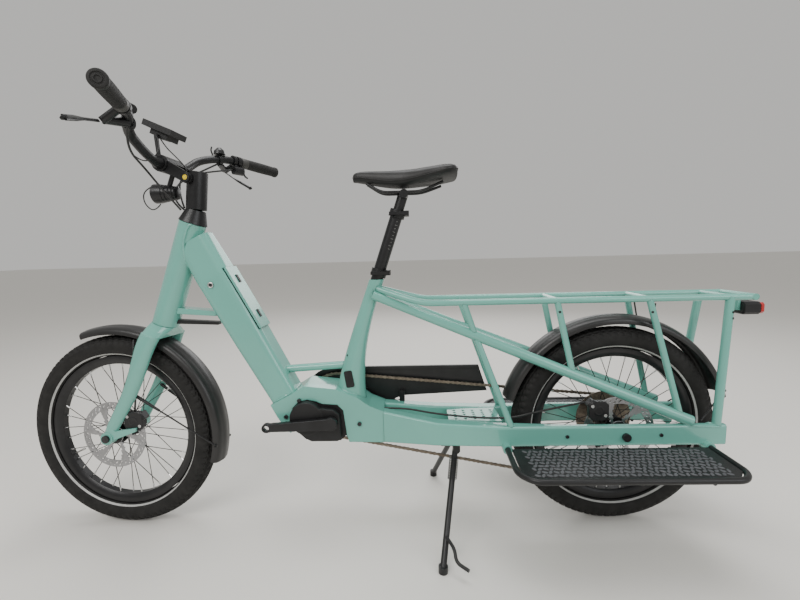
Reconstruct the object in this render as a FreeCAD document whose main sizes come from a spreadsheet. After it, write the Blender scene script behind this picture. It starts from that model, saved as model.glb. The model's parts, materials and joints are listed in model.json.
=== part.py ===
"""Long-tail cargo bicycle with a mid motor, a covered battery tube, a rear rack and running boards.

Frame of the model: millimetres, +Z up, the ground at Z = 0. -X is forward, +X is rearward,
-Y is the rider's left and +Y the rider's right (drive) side. The origin is the ground point
midway between the foremost and the rearmost point of the bicycle.
"""
import FreeCAD, Part
import math
import os
import Sketcher
from FreeCAD import Placement, Rotation, Vector as V

os.makedirs("parts", exist_ok=True)
doc = FreeCAD.newDocument("cargo_bicycle")

# ---------------------------------------------------------------- driving dimensions
DIMENSIONS = [
    ("wheel_radius", 264, "outside radius of a 20 inch tyre"),
    ("tyre_radius", 30, "radius of the tyre's own section"),
    ("tyre_wall", 3.2, "thickness of the tyre's carcass and tread"),
    ("rim_outer", 208, "rim radius at the edge of its flanges"),
    ("rim_inner", 185, "rim radius at the spoke bed"),
    ("rim_half_width", 17, "half the rim's outside width"),
    ("rear_axle_x", 614, "rear axle ahead or behind the origin"),
    ("wheelbase", 1326, "distance between the axles"),
    ("head_angle", 70, "steering axis above the horizontal, degrees"),
    ("rest_steer", 4.5, "how far the bars are turned to the right at rest, degrees"),
    ("fork_offset", 32, "front axle ahead of the steering axis"),
    ("head_low", 325, "head tube's lower end, measured up the steering axis"),
    ("head_high", 604, "head tube's upper end, measured up the steering axis"),
    ("head_tube_od", 66, "head tube outside diameter"),
    ("steerer_od", 28.6, "steerer diameter"),
    ("seat_angle", 71, "seat tube above the horizontal, degrees"),
    ("seat_ref_x", 12, "a point of the seat tube's axis"),
    ("seat_ref_z", 700, "height of that point"),
    ("outer_post_od", 31.6, "lower, outer seat post"),
    ("inner_post_od", 26.8, "upper, inner seat post"),
    ("crank_x", -123, "crank axis"),
    ("crank_z", 304, "height of the crank axis"),
    ("crank_length", 165, "crank axis to pedal eye"),
    ("crank_face", 84, "outer face of a crank arm from the middle"),
    ("crank_droop", 3, "how far the left crank points below forward, degrees"),
    ("spindle_od", 19, "crank spindle diameter"),
    ("chainring_radius", 93, "pitch radius of the chainring"),
    ("cog_radius", 60.6, "pitch radius of the sprocket in use"),
    ("chain_line", 50, "chain plane from the middle"),
    ("axle_od", 12, "through axles"),
    ("stay_outer", 84, "outer face of a chain stay from the middle"),
    ("stay_low", 240, "underside of the chain stays"),
    ("stay_high", 292, "top of the chain stays"),
    ("stay_wall", 2.5, "wall of the chain stays"),
    ("stay_end", 857, "rear end of the chain stays"),
    ("rack_half", 54, "rack rail from the middle"),
    ("rack_height", 605, "axis of the rack rails"),
    ("rack_tube_od", 16, "rack rails and front posts"),
    ("rack_end", 921, "rear cross bar of the rack"),
    ("rear_post_od", 20, "rearmost rack posts"),
    ("tube_wall", 2, "wall of the round tubes"),
    ("board_outer", 240, "outer tube of a running board from the middle"),
    ("board_height", 240, "axis of the running board's tube"),
    ("board_tube_od", 14, "running board tube"),
    ("deck_thickness", 6, "running board deck"),
    ("bar_od", 22.2, "handlebar at the grips"),
    ("bar_clamp_od", 31.8, "handlebar at the stem"),
    ("grip_od", 33, "grips"),
    ("hose_od", 5, "brake hoses and housings"),
    ("kickstand_half", 204, "kickstand foot from the middle"),
    ("kickstand_tube_od", 15, "kickstand leg"),
    ("rotor_radius", 90, "brake rotor outside radius"),
    ("spoke_od", 2, "spoke diameter"),
    ("fender_radius", 297, "rear fender's outside radius"),
    ("fender_half", 34, "half a fender's width"),
    ("running_gap", 0.05, "radial clearance of a shaft in its bearing"),
]
sheet = doc.addObject("Spreadsheet::Sheet", "Dims")
for line, (alias, value, note) in enumerate(DIMENSIONS, start=1):
    sheet.set("A%d" % line, alias)
    sheet.set("B%d" % line, str(value))
    sheet.set("C%d" % line, note)
    sheet.setAlias("B%d" % line, alias)
doc.recompute()


def dim(alias):
    """The number that a cell of the sheet holds."""
    return float(sheet.get(alias))


LEFT, RIGHT = -1, 1
SIDES = (LEFT, RIGHT)
ROOT = Placement()

# ---------------------------------------------------------------- reference points
REAR_AXLE = V(dim("rear_axle_x"), 0, dim("wheel_radius"))
FRONT_AXLE = V(dim("rear_axle_x") - dim("wheelbase"), 0, dim("wheel_radius"))
CRANK = V(dim("crank_x"), 0, dim("crank_z"))
HEAD = math.radians(dim("head_angle"))
STEER_UP = V(math.cos(HEAD), 0, math.sin(HEAD))
STEER_AHEAD = V(-math.sin(HEAD), 0, math.cos(HEAD))
STEER_BASE = FRONT_AXLE - STEER_AHEAD * dim("fork_offset")
SEAT = math.radians(dim("seat_angle"))
SEAT_UP = V(math.cos(SEAT), 0, math.sin(SEAT))
SEAT_REF = V(dim("seat_ref_x"), 0, dim("seat_ref_z"))
# Everything that steers is drawn straight ahead and then turned to its rest place.
STEERED = Placement(V(0, 0, 0), Rotation(STEER_UP, -dim("rest_steer")), STEER_BASE)


def on_steerer(height, ahead=0.0, side=0.0):
    """A point at a height up the steering axis, ahead of it and to a side."""
    return STEER_BASE + STEER_UP * height + STEER_AHEAD * ahead + V(0, side, 0)


def on_seat_axis(height):
    """The point of the seat tube's axis at a height above the ground."""
    return SEAT_REF + SEAT_UP * ((height - SEAT_REF.z) / SEAT_UP.z)


# ---------------------------------------------------------------- helpers
finished = []
counter = {"scrap": 0}


def scrap_name(stem):
    """A fresh internal name for a building block of a sub-part."""
    counter["scrap"] += 1
    return "%s_%03d" % (stem, counter["scrap"])


def along(start, end):
    """The placement whose Z axis runs from start to end."""
    return Placement(start, Rotation(V(0, 0, 1), end - start))


def bind(obj, **expressions):
    """Ties properties of an object to the sheet: bind(obj, Radius='Dims.hose_od / 2')."""
    for prop, text in expressions.items():
        obj.setExpression(prop, text)
    return obj


def rod(start, end, radius):
    """A solid round bar; radius is a number or an expression of the sheet."""
    obj = doc.addObject("Part::Cylinder", scrap_name("rod"))
    obj.Height = (end - start).Length
    obj.Placement = along(start, end)
    if isinstance(radius, str):
        bind(obj, Radius=radius)
    else:
        obj.Radius = radius
    return obj


def cone(start, end, radius_start, radius_end):
    """A tapered round bar."""
    obj = doc.addObject("Part::Cone", scrap_name("cone"))
    obj.Radius1, obj.Radius2 = radius_start, radius_end
    obj.Height = (end - start).Length
    obj.Placement = along(start, end)
    return obj


def block(low, high):
    """A box between two corners."""
    obj = doc.addObject("Part::Box", scrap_name("block"))
    obj.Length, obj.Width, obj.Height = high.x - low.x, high.y - low.y, high.z - low.z
    obj.Placement = Placement(low, Rotation())
    return obj


def fuse(pieces):
    """One body of metal or plastic made of several."""
    obj = doc.addObject("Part::MultiFuse", scrap_name("fuse"))
    obj.Shapes = pieces
    obj.Refine = False
    return obj


def cut(base, tools):
    """A base with the tools taken away."""
    obj = doc.addObject("Part::Cut", scrap_name("cut"))
    obj.Base = base
    obj.Tool = tools[0] if len(tools) == 1 else fuse(tools)
    return obj


def tube(start, end, radius, wall, trims=()):
    """A hollow round tube with closed ends, mitred against its neighbours."""
    run = end - start
    run.normalize()
    outer = rod(start, end, radius)
    inner_radius = "%s - %s" % (radius, wall) if isinstance(radius, str) else radius - dim(wall[5:])
    inner = rod(start + run * dim("tube_wall"), end - run * dim("tube_wall"), inner_radius)
    return cut(outer, [inner] + list(trims))


def shape(solid, name="form"):
    """A Part::Feature that holds a shape worked out with Part's own functions."""
    obj = doc.addObject("Part::Feature", scrap_name(name))
    obj.Shape = solid
    return obj


def node(label, obj, placement=ROOT):
    """Finishes a sub-part: its label names its file, and its placement puts it at rest."""
    obj.Label = label
    obj.Placement = placement.multiply(obj.Placement)
    finished.append(obj)
    return obj


def group(label, pieces, placement=ROOT):
    """A sub-part of several separate solids, such as a set of equal fasteners."""
    if len(pieces) == 1:
        return node(label, pieces[0], placement)
    obj = doc.addObject("Part::Compound", scrap_name("group"))
    obj.Links = pieces
    return node(label, obj, placement)


def sketch_on(body, role, offset=0.0):
    """A sketch on an origin plane of its own body, moved along the plane's normal."""
    sketch = body.newObject("Sketcher::SketchObject", scrap_name("sketch"))
    plane = [f for f in body.Origin.OriginFeatures if f.Role == role][0]
    sketch.AttachmentSupport = [(plane, "")]
    sketch.MapMode = "FlatFace"
    sketch.AttachmentOffset = Placement(V(0, 0, offset), Rotation())
    return sketch


def draw_outline(sketch, points):
    """A closed outline of straight lines whose ends coincide."""
    lines = []
    for here, there in zip(points, points[1:] + points[:1]):
        lines.append(sketch.addGeometry(Part.LineSegment(V(*here), V(*there))))
    for line, following in zip(lines, lines[1:] + lines[:1]):
        sketch.addConstraint(Sketcher.Constraint("Coincident", line, 2, following, 1))


def draw_circle(sketch, centre, radius):
    """A circle whose radius is a number or an expression of the sheet."""
    start = 10.0 if isinstance(radius, str) else radius
    circle = sketch.addGeometry(Part.Circle(V(*centre), V(0, 0, 1), start))
    row = sketch.addConstraint(Sketcher.Constraint("Radius", circle, start))
    if isinstance(radius, str):
        sketch.setExpression("Constraints[%d]" % row, radius)


def plate(outline, side_from, side_to, holes=(), circles=(), role="XZ_Plane"):
    """A flat plate. In the XZ plane it lies between two distances to the side."""
    body = doc.addObject("PartDesign::Body", scrap_name("body"))
    # The XZ plane's normal is -Y, so a pad grows from the larger Y towards the smaller one.
    sketch = sketch_on(body, role, -side_to if role == "XZ_Plane" else side_from)
    if outline:
        draw_outline(sketch, [(x, z, 0) for x, z in outline])
    for hole in holes:
        draw_outline(sketch, [(x, z, 0) for x, z in hole])
    for x, z, radius in circles:
        draw_circle(sketch, (x, z, 0), radius)
    pad = body.newObject("PartDesign::Pad", scrap_name("pad"))
    pad.Profile = sketch
    pad.Length = side_to - side_from
    body.Tip = pad
    return body


def turned(profile, degrees=360.0, start_at=0.0, centre=V(0, 0, 0)):
    """A ring turned about a cross axis through centre. The profile is (side, radius) points."""
    body = doc.addObject("PartDesign::Body", scrap_name("body"))
    sketch = sketch_on(body, "YZ_Plane")
    draw_outline(sketch, [(side, radius, 0) for side, radius in profile])
    spin = body.newObject("PartDesign::Revolution", scrap_name("revolution"))
    spin.Profile = sketch
    spin.ReferenceAxis = (sketch, ["H_Axis"])
    spin.Angle = degrees
    body.Tip = spin
    body.Placement = Placement(centre, Rotation(V(0, 1, 0), start_at))
    return body


def route_wire(points, bend=0.45):
    """Straight runs joined by tangent arcs; each arc takes a share of its shorter run."""
    edges, here = [], points[0]
    for before, corner, after in zip(points, points[1:], points[2:]):
        back, ahead = before - corner, after - corner
        reach = bend * min(back.Length, ahead.Length)
        back.normalize()
        ahead.normalize()
        first, last = corner + back * reach, corner + ahead * reach
        half_turn = (math.pi - back.getAngle(ahead)) / 2
        radius = reach / math.tan(half_turn)
        middle = back + ahead
        middle.normalize()
        middle = corner + middle * (radius / math.cos(half_turn) - radius)
        edges.append(Part.LineSegment(here, first).toShape())
        edges.append(Part.Arc(first, middle, last).toShape())
        bend_radii.append(radius)
        here = last
    edges.append(Part.LineSegment(here, points[-1]).toShape())
    return Part.Wire(edges)


bend_radii = []


def bent_tube(points, radius, bend=0.45, name="bent"):
    """A round bar or hose swept along a route; its volume is checked against its length."""
    size = float(doc_value(radius))
    wire = route_wire(points, bend)
    run = points[1] - points[0]
    section = Part.Wire([Part.Circle(points[0], run, size).toShape()])
    solid = wire.makePipeShell([section], True, True)
    expected = math.pi * size ** 2 * wire.Length
    if abs(solid.Volume - expected) > 0.02 * expected:
        raise ValueError("%s: swept volume %.0f, expected %.0f" % (name, solid.Volume, expected))
    return shape(solid, name)


def doc_value(expression):
    """A number, or the value of 'Dims.alias / 2'."""
    if not isinstance(expression, str):
        return expression
    alias, _, divisor = expression.partition(" / ")
    return dim(alias[5:]) / (float(divisor) if divisor else 1.0)


def rounded_section(centre, side_axis, up_axis, half_side, half_up, corner):
    """A closed rounded rectangle about centre, in the plane of two axes."""
    points = []
    inner_side, inner_up = half_side - corner, half_up - corner
    edges = []
    corners = [(1, 1), (-1, 1), (-1, -1), (1, -1)]
    ends = []
    for number, (sign_side, sign_up) in enumerate(corners):
        hub = centre + side_axis * (inner_side * sign_side) + up_axis * (inner_up * sign_up)
        side_end = hub + side_axis * (corner * sign_side)
        up_end = hub + up_axis * (corner * sign_up)
        middle = hub + (side_axis * sign_side + up_axis * sign_up) * (corner / math.sqrt(2))
        first, last = (side_end, up_end) if number % 2 == 0 else (up_end, side_end)
        edges.append(Part.Arc(first, middle, last).toShape())
        ends.append((first, last))
    joined = []
    for number, arc in enumerate(edges):
        joined.append(arc)
        leave, meet = ends[number][1], ends[(number + 1) % 4][0]
        joined.append(Part.LineSegment(leave, meet).toShape())
    return Part.Wire(joined)


def mirrored(points):
    """The same outline on the other side of the bicycle."""
    return [V(p.x, -p.y, p.z) for p in points]


# ================================================================ FRAME
BEARING_OUTER, BEARING_DEPTH = 27.0, 8.0
HEAD_BORE = 20.0
head_low, head_high = dim("head_low"), dim("head_high")
head_solid = rod(on_steerer(head_low), on_steerer(head_high), "Dims.head_tube_od / 2")
node("head_tube", cut(head_solid, [
    rod(on_steerer(head_low), on_steerer(head_high), HEAD_BORE),
    rod(on_steerer(head_low), on_steerer(head_low + BEARING_DEPTH), BEARING_OUTER),
    rod(on_steerer(head_high - BEARING_DEPTH), on_steerer(head_high), BEARING_OUTER),
]))

# The down tube is measured along its own axis: up the tube, and out through its upper face.
DOWN_FOOT = V(-254, 0, 360)
DOWN_UP = V(-218.4, 0, 415).normalize()
DOWN_OUT = V(DOWN_UP.z, 0, -DOWN_UP.x)
DOWN_LENGTH = 469.0
# up the tube, half width, half depth, corner radius
DOWN_STATIONS = [(0, 41, 36, 16), (180, 41, 41, 18), (360, 38, 45, 20), (DOWN_LENGTH, 31, 45, 22)]
DOWN_WALL = 3.0


def on_down_tube(up, out=0.0, side=0.0):
    """A point of the down tube's own frame."""
    return DOWN_FOOT + DOWN_UP * up + DOWN_OUT * out + V(0, side, 0)


def down_loft(shrink, stations):
    """The down tube's form, shrunk by a wall."""
    wires = []
    for up, half_side, half_up, corner in stations:
        wires.append(rounded_section(on_down_tube(up), V(0, 1, 0), DOWN_OUT,
                                     half_side - shrink, half_up - shrink, corner - shrink))
    return shape(Part.makeLoft(wires, True, True), "down")


def down_block(up_from, up_to, half, out_from, out_to):
    """A box that is square to the down tube."""
    obj = doc.addObject("Part::Box", scrap_name("downblock"))
    obj.Length, obj.Width, obj.Height = up_to - up_from, 2 * half, out_to - out_from
    corner = on_down_tube(up_from, out_from, half)
    obj.Placement = Placement(corner, Rotation(DOWN_UP, V(0, -1, 0), DOWN_OUT, "XYZ"))
    return obj


COVER_LOW, COVER_HIGH, COVER_HALF = 187.0, 368.0, 33.0
COVER_GAP = 0.5
COVER_UNDER, COVER_TOP = 40.5, 46.5
BATTERY_LOW, BATTERY_HIGH, BATTERY_HALF, BATTERY_DEPTH = 20.0, 340.0, 29.0, 30.0
down_solid = down_loft(0, DOWN_STATIONS)
down_hollow = down_loft(DOWN_WALL, DOWN_STATIONS[:-1] + [(DOWN_LENGTH - 40, 32, 45, 22)])
node("down_tube", cut(down_solid, [
    down_hollow, head_solid,
    down_block(COVER_LOW, COVER_HIGH, COVER_HALF, COVER_UNDER - 6, 70),
]))
node("battery", down_block(BATTERY_LOW, BATTERY_HIGH, BATTERY_HALF, -BATTERY_DEPTH, BATTERY_DEPTH))
LATCH_OUT, LATCH_HALF = 49.0, 5.0
cover = down_block(COVER_LOW + COVER_GAP, COVER_HIGH - COVER_GAP, COVER_HALF - COVER_GAP,
                   COVER_UNDER, COVER_TOP)
latches = [down_block(up, up + 22, LATCH_HALF, COVER_TOP, LATCH_OUT) for up in (215, 320)]
node("battery_cover", fuse([cover] + latches))

# The forged junction that holds the motor, the seat tube and the chain stays.
SHELL_HALF = 46.0
MOTOR_TOP = [(-88, 260), (-95, 326), (-110, 342), (-150, 345), (-165, 352), (-189, 357),
             (-212, 351), (-228, 335), (-233, 300), (-229, 280)]
MOTOR_BELOW = [(-197, 250), (-180, 244), (-105, 244)]
SHELL_BELOW = [(-236, 266), (-250, 280), (-268, 308)]
SHELL_ABOVE = [(-195, 393), (-116, 384), (-88, 372), (-60, 362), (-28, 338), (10, 322),
               (10, 238), (-82, 240)]
down_low = on_down_tube(0, -36)
down_top = on_down_tube(0, 36)
shell_outline = (MOTOR_TOP + SHELL_BELOW + [(down_low.x, down_low.z), (down_top.x, down_top.z)]
                 + SHELL_ABOVE)
shell_solid = plate(shell_outline, -SHELL_HALF, SHELL_HALF)
SHELL_POCKET = (V(-70, -38, 230), V(2, 38, 312))
node("motor_shell", cut(shell_solid, [block(*SHELL_POCKET)]))

MOTOR_HALF = 44.0
SPINDLE_HOLE = "Dims.spindle_od / 2 + Dims.running_gap"
bearing_bore = rod(CRANK - V(0, 70, 0), CRANK + V(0, 70, 0), SPINDLE_HOLE)
node("motor_unit", cut(plate(MOTOR_TOP + MOTOR_BELOW, -MOTOR_HALF, MOTOR_HALF), [bearing_bore]))
COVER_CENTRE, COVER_RADIUS = (-189, 312), 43.0
LEFT_COVER = [(-100, 256), (-104, 322), (-118, 334), (-150, 338), (-215, 336), (-224, 300),
              (-219, 284), (-193, 258), (-178, 251), (-109, 251)]
disc = rod(V(COVER_CENTRE[0], -MOTOR_HALF, COVER_CENTRE[1]), V(COVER_CENTRE[0], -66, COVER_CENTRE[1]),
           COVER_RADIUS)
left_cover = cut(fuse([plate(LEFT_COVER, -64, -MOTOR_HALF), disc]), [bearing_bore])
right_cover = cut(plate(LEFT_COVER, MOTOR_HALF, 46.5), [bearing_bore])
group("motor_covers", [left_cover, right_cover])

# Seat tube: flared where it meets the junction. height, centre, half length, half width
SEAT_STATIONS = [(345, -80, 42, 32), (440, -68, 30, 27), (530, -46, 22.7, 21.5), (664, -0.4, 20.1, 19)]


def ellipse_wire(centre, half_x, half_y):
    """A level ellipse."""
    if half_x >= half_y:
        curve = Part.Ellipse(centre, half_x, half_y)
    else:
        curve = Part.Ellipse(centre + V(0, half_y, 0), centre + V(half_x, 0, 0), centre)
    return Part.Wire([curve.toShape()])


seat_solid = shape(Part.makeLoft([ellipse_wire(V(x, 0, z), half_x, half_y)
                                  for z, x, half_x, half_y in SEAT_STATIONS], True), "seat")
SEAT_BORE = "Dims.outer_post_od / 2 + Dims.running_gap"
seat_bore = rod(on_seat_axis(400), on_seat_axis(700), SEAT_BORE)
node("seat_tube", cut(seat_solid, [shell_solid, seat_bore]))

# Braces: a flat one behind the head tube and a round one between the down tube and seat tube.
FRONT_BRACE = [(-572, 606), (-425, 591), (-425, 578), (-572, 589)]
front_brace = cut(plate(FRONT_BRACE, -18, 18), [head_solid, down_solid])
mid_brace = tube(V(-262, 0, 427), V(-92, 0, 437), 10.0, "Dims.tube_wall", [down_solid, seat_solid])
group("brace_tubes", [front_brace, mid_brace])

# Chain stays: they spread from the junction, run outside the hub and end behind the wheel.
STAY_WIDE, STAY_THIN = 18.0, 9.0
STAY_CORNER = 6.0


def stay_stations():
    """Distance back, centre to the side, half width, middle height, half height."""
    outer, low, high = dim("stay_outer"), dim("stay_low"), dim("stay_high")
    middle, half = (low + high) / 2, (high - low) / 2
    return [(10, 32, 17, 280, 42), (150, 58, STAY_WIDE, 270, 30),
            (300, outer - STAY_WIDE, STAY_WIDE, middle, half),
            (470, outer - STAY_THIN, STAY_THIN, middle, half),
            (dim("stay_end"), outer - STAY_THIN, STAY_THIN, middle, half)]


def stay_loft(side, shrink, stations):
    """One chain stay's form, shrunk by a wall."""
    wires = []
    for x, y, half_side, z, half_up in stations:
        wires.append(rounded_section(V(x, side * y, z), V(0, side, 0), V(0, 0, 1),
                                     half_side - shrink, half_up - shrink, STAY_CORNER - shrink))
    return shape(Part.makeLoft(wires, True, True), "stay")


AXLE_BOSS, HUB_CAP_CLEARANCE = 19.0, 13.0
HUB_HALF = 74.0
SOCKET_RADIUS, SOCKET_REACH = 12.0, 98.0
SOCKETS = (320, 812)
stay_solids, stay_parts = [], []
for side in SIDES:
    stations = stay_stations()
    solid = stay_loft(side, 0, stations)
    stay_solids.append(solid)
    inner_stations = stations[:-1] + [(dim("stay_end") - 4,) + stations[-1][1:]]
    hollow = cut(solid, [stay_loft(side, dim("stay_wall"), inner_stations)])
    inner_face = (dim("stay_outer") - 2 * STAY_THIN + 1) * side
    outer_face = (dim("stay_outer") - 1) * side
    boss = rod(REAR_AXLE + V(0, inner_face, 0), REAR_AXLE + V(0, outer_face, 0), AXLE_BOSS)
    bosses = [rod(V(x, side * 70, dim("board_height")), V(x, side * SOCKET_REACH, dim("board_height")),
                  SOCKET_RADIUS) for x in SOCKETS]
    bores = [rod(V(x, side * 84, dim("board_height")), V(x, side * 110, dim("board_height")),
                 "Dims.board_tube_od / 2") for x in SOCKETS]
    hub_cap = rod(REAR_AXLE, REAR_AXLE + V(0, side * (HUB_HALF + 0.5), 0), HUB_CAP_CLEARANCE)
    axle_hole = rod(REAR_AXLE, REAR_AXLE + V(0, side * 100, 0), "Dims.axle_od / 2")
    stay_parts.append(cut(fuse([hollow, boss] + bosses), bores + [hub_cap, axle_hole]))
group("chain_stays", stay_parts)
node("rear_axle", fuse([
    rod(REAR_AXLE + V(0, -92, 0), REAR_AXLE + V(0, 88, 0), "Dims.axle_od / 2"),
    rod(REAR_AXLE + V(0, -92, 0), REAR_AXLE + V(0, -84, 0), 10),
    rod(REAR_AXLE + V(0, 84, 0), REAR_AXLE + V(0, 88, 0), 9),
]))

# Upper stays: from the seat tube down to the rear ends of the chain stays.
UPPER_FRONT, UPPER_REAR = (-10, 22, 625), (775, 76, 300)
UPPER_RADII = (12.0, 14.0)


def on_upper_stay(side, x):
    """The point of an upper stay's axis at a distance back."""
    share = (x - UPPER_FRONT[0]) / (UPPER_REAR[0] - UPPER_FRONT[0])
    y = UPPER_FRONT[1] + share * (UPPER_REAR[1] - UPPER_FRONT[1])
    z = UPPER_FRONT[2] + share * (UPPER_REAR[2] - UPPER_FRONT[2])
    return V(x, side * y, z)


upper_solids, upper_parts = [], []
for side in SIDES:
    front, rear = on_upper_stay(side, UPPER_FRONT[0]), on_upper_stay(side, UPPER_REAR[0])
    solid = cone(front, rear, *UPPER_RADII)
    wall = dim("tube_wall")
    hollow = cone(front, rear, UPPER_RADII[0] - wall, UPPER_RADII[1] - wall)
    upper_solids.append(solid)
    upper_parts.append(cut(solid, [hollow, seat_solid] + stay_solids))
group("upper_stays", upper_parts)

# Rack: two rails that curl in to the seat tube, with cross tubes and splayed posts.
RACK_RADIUS = "Dims.rack_tube_od / 2"
half, top, rack_end = dim("rack_half"), dim("rack_height"), dim("rack_end")
RAIL_ROUTE = [V(2, -16, 640), V(66, -42, 620), V(120, -half, top), V(rack_end, -half, top)]
CROSS_TUBES = (448, 670, 866)
CROSS_RADIUS = 7.0
rail_solids, rail_parts = [], []
for side in SIDES:
    route = RAIL_ROUTE if side == LEFT else mirrored(RAIL_ROUTE)
    solid = bent_tube(route, RACK_RADIUS, name="rail")
    wall = dim("tube_wall")
    bore = bent_tube(route, dim("rack_tube_od") / 2 - wall, name="rail_bore")
    rail_solids.append(solid)
    rail_parts.append(cut(solid, [bore, seat_solid]))
end_bar = rod(V(rack_end, -half - 8, top), V(rack_end, half + 8, top), RACK_RADIUS)
cross = [rod(V(x, -half, top), V(x, half, top), CROSS_RADIUS) for x in CROSS_TUBES]
LIGHT_TAB = (V(rack_end - 4, -12, top - 40), V(rack_end + 4, 12, top))
rack_top = fuse(rail_parts + [end_bar] + cross + [block(*LIGHT_TAB)])
POST_ENDS = [
    ((218, half, top), (249, None, None), RACK_RADIUS),
    ((249, None, None), (333, 75, 290), RACK_RADIUS),
    ((448, half, top), (490, None, None), RACK_RADIUS),
    ((672, half, top), (752, 75, 300), RACK_RADIUS),
    ((866, half, top), (838, 75, 290), "Dims.rear_post_od / 2"),
]


def post_end(spec, side):
    """A post's end: a point, or the place on the upper stay's axis at that distance back."""
    x, y, z = spec
    return on_upper_stay(side, x) if y is None else V(x, side * y, z)


posts = []
for side in SIDES:
    for upper_end, lower_end, radius in POST_ENDS:
        posts.append(tube(post_end(upper_end, side), post_end(lower_end, side), radius,
                          "Dims.tube_wall", rail_solids + upper_solids + stay_solids))
node("rack_rails", rack_top)
group("rack_posts", posts)

# A drilled tray closes the space between the chain stays ahead of the rear wheel.
TRAY_LOW, TRAY_THICK = 290.0, 2.5
TRAY = [(180, -41), (316, -46), (316, 46), (180, 41)]
tray_holes = [(x, y, 4.0) for x in range(200, 301, 25) for y in (-28, -14, 0, 14, 28)]
tray = cut(plate(TRAY, TRAY_LOW, TRAY_LOW + TRAY_THICK, circles=tray_holes, role="XY_Plane"), stay_solids)

# Headset bearings, and the small black fittings of the frame.
ring_bore = "Dims.steerer_od / 2 + Dims.running_gap"
bearings = []
for low in (head_low, head_high - BEARING_DEPTH):
    ends = on_steerer(low), on_steerer(low + BEARING_DEPTH)
    bearings.append(cut(rod(*ends, BEARING_OUTER), [rod(*ends, ring_bore)]))
group("headset_bearings", bearings)

fittings = [plate([(-538, 569), (-425, 561), (-425, 553), (-538, 558)], -9, 9)]
fittings[0] = cut(fittings[0], [head_solid, down_solid])
MOTOR_BOLTS = ((-209, 355.5), (-246, 312), (-53.5, 290))
for x, z in MOTOR_BOLTS:
    for side in SIDES:
        proud = 3 if side == LEFT else 0.8
        head = rod(V(x, side * SHELL_HALF, z), V(x, side * (SHELL_HALF + proud), z), 5)
        fittings.append(cut(head, [left_cover, right_cover]))
LOCK = on_down_tube(345, -8)
for side in SIDES:
    lock_face = rod(V(LOCK.x, side * 37, LOCK.z), V(LOCK.x, side * 41, LOCK.z), 7)
    fittings.append(cut(lock_face, [down_solid]))
fittings.append(tray)

# ================================================================ SEAT
COLLAR_HALF, COLLAR_OUTSIDE, COLLAR_EAR = 9.0, 20.5, 10.0
LEVER_REACH, CAM_RADIUS = 44.0, 6.0
LOWER_COLLAR, UPPER_COLLAR = 681.0, 830.0
OUTER_POST_LOW, OUTER_POST_HIGH = 450.0, 826.0
INNER_POST_LOW, INNER_POST_HIGH = 640.0, 872.0
outer_radius, inner_radius = dim("outer_post_od") / 2, dim("inner_post_od") / 2
gap = dim("running_gap")


def collar(height, bore):
    """A split seat clamp with two ears behind the post, drawn together by a pin and its nut."""
    low, high = on_seat_axis(height - COLLAR_HALF), on_seat_axis(height + COLLAR_HALF)
    middle = on_seat_axis(height)
    pin_x = middle.x + COLLAR_OUTSIDE + 4
    ring = rod(low, high, COLLAR_OUTSIDE)
    ears = block(V(middle.x, -COLLAR_EAR, height - 7), V(pin_x + 6, COLLAR_EAR, height + 7))
    split = block(V(middle.x, -1.5, height - 30), V(middle.x + 60, 1.5, height + 30))
    post_way = rod(low - SEAT_UP * 20, high + SEAT_UP * 20, bore)
    pin = rod(V(pin_x, -COLLAR_EAR, height), V(pin_x, COLLAR_EAR + 6, height), 3)
    nut = rod(V(pin_x, COLLAR_EAR, height), V(pin_x, COLLAR_EAR + 5, height), 6)
    return fuse([cut(fuse([ring, ears]), [post_way, split]), pin, nut])


def lever(height):
    """A quick-release lever: an upright cam against the left ear and a handle along the collar."""
    pin_x = on_seat_axis(height).x + COLLAR_OUTSIDE + 4
    cam_y = -COLLAR_EAR - 0.3 - CAM_RADIUS
    inner, outer = -COLLAR_OUTSIDE - 1.5, -COLLAR_OUTSIDE - 6.5
    cam = rod(V(pin_x, cam_y, height - 6), V(pin_x, cam_y, height + 6), CAM_RADIUS)
    link = block(V(pin_x - 5, outer, height - 5), V(pin_x + 5, cam_y, height + 5))
    handle = block(V(pin_x - LEVER_REACH, outer, height - 4), V(pin_x, inner, height + 4))
    return fuse([cam, link, handle])


fittings.append(collar(LOWER_COLLAR, outer_radius + gap))
group("frame_fittings", fittings)
node("lower_seat_lever", lever(LOWER_COLLAR))
outer_post = cut(rod(on_seat_axis(OUTER_POST_LOW), on_seat_axis(OUTER_POST_HIGH + 12),
                     "Dims.outer_post_od / 2"),
                 [rod(on_seat_axis(OUTER_POST_LOW - 5), on_seat_axis(OUTER_POST_HIGH + 30),
                      "Dims.inner_post_od / 2 + Dims.running_gap")])
node("outer_post", fuse([outer_post, collar(UPPER_COLLAR, outer_radius)]))
node("upper_seat_lever", lever(UPPER_COLLAR))

RAIL_BASE = 878.0
post_top = on_seat_axis(INNER_POST_HIGH)
clamp = rod(V(post_top.x + 4, -24, RAIL_BASE), V(post_top.x + 4, 24, RAIL_BASE), 11)
RAIL_SIDE = 20.0
saddle_rail = [V(-18, -9, 906), V(20, -RAIL_SIDE, RAIL_BASE + 4), V(120, -RAIL_SIDE, RAIL_BASE + 4),
               V(172, -38, 902)]
seat_rails = [bent_tube(route, 3.5, bend=0.35, name="saddle_rail")
              for route in (saddle_rail, mirrored(saddle_rail))]
node("inner_post", fuse([rod(on_seat_axis(INNER_POST_LOW), post_top, "Dims.inner_post_od / 2"), clamp]
                        + seat_rails))
# Saddle: distance back, half width, underside, top
SADDLE = [(-55, 9, 912, 930), (-25, 19, 906, 938), (40, 26, 899, 938), (110, 48, 899, 941),
          (160, 76, 902, 946), (195, 84, 908, 948), (211, 62, 916, 942)]


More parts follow.
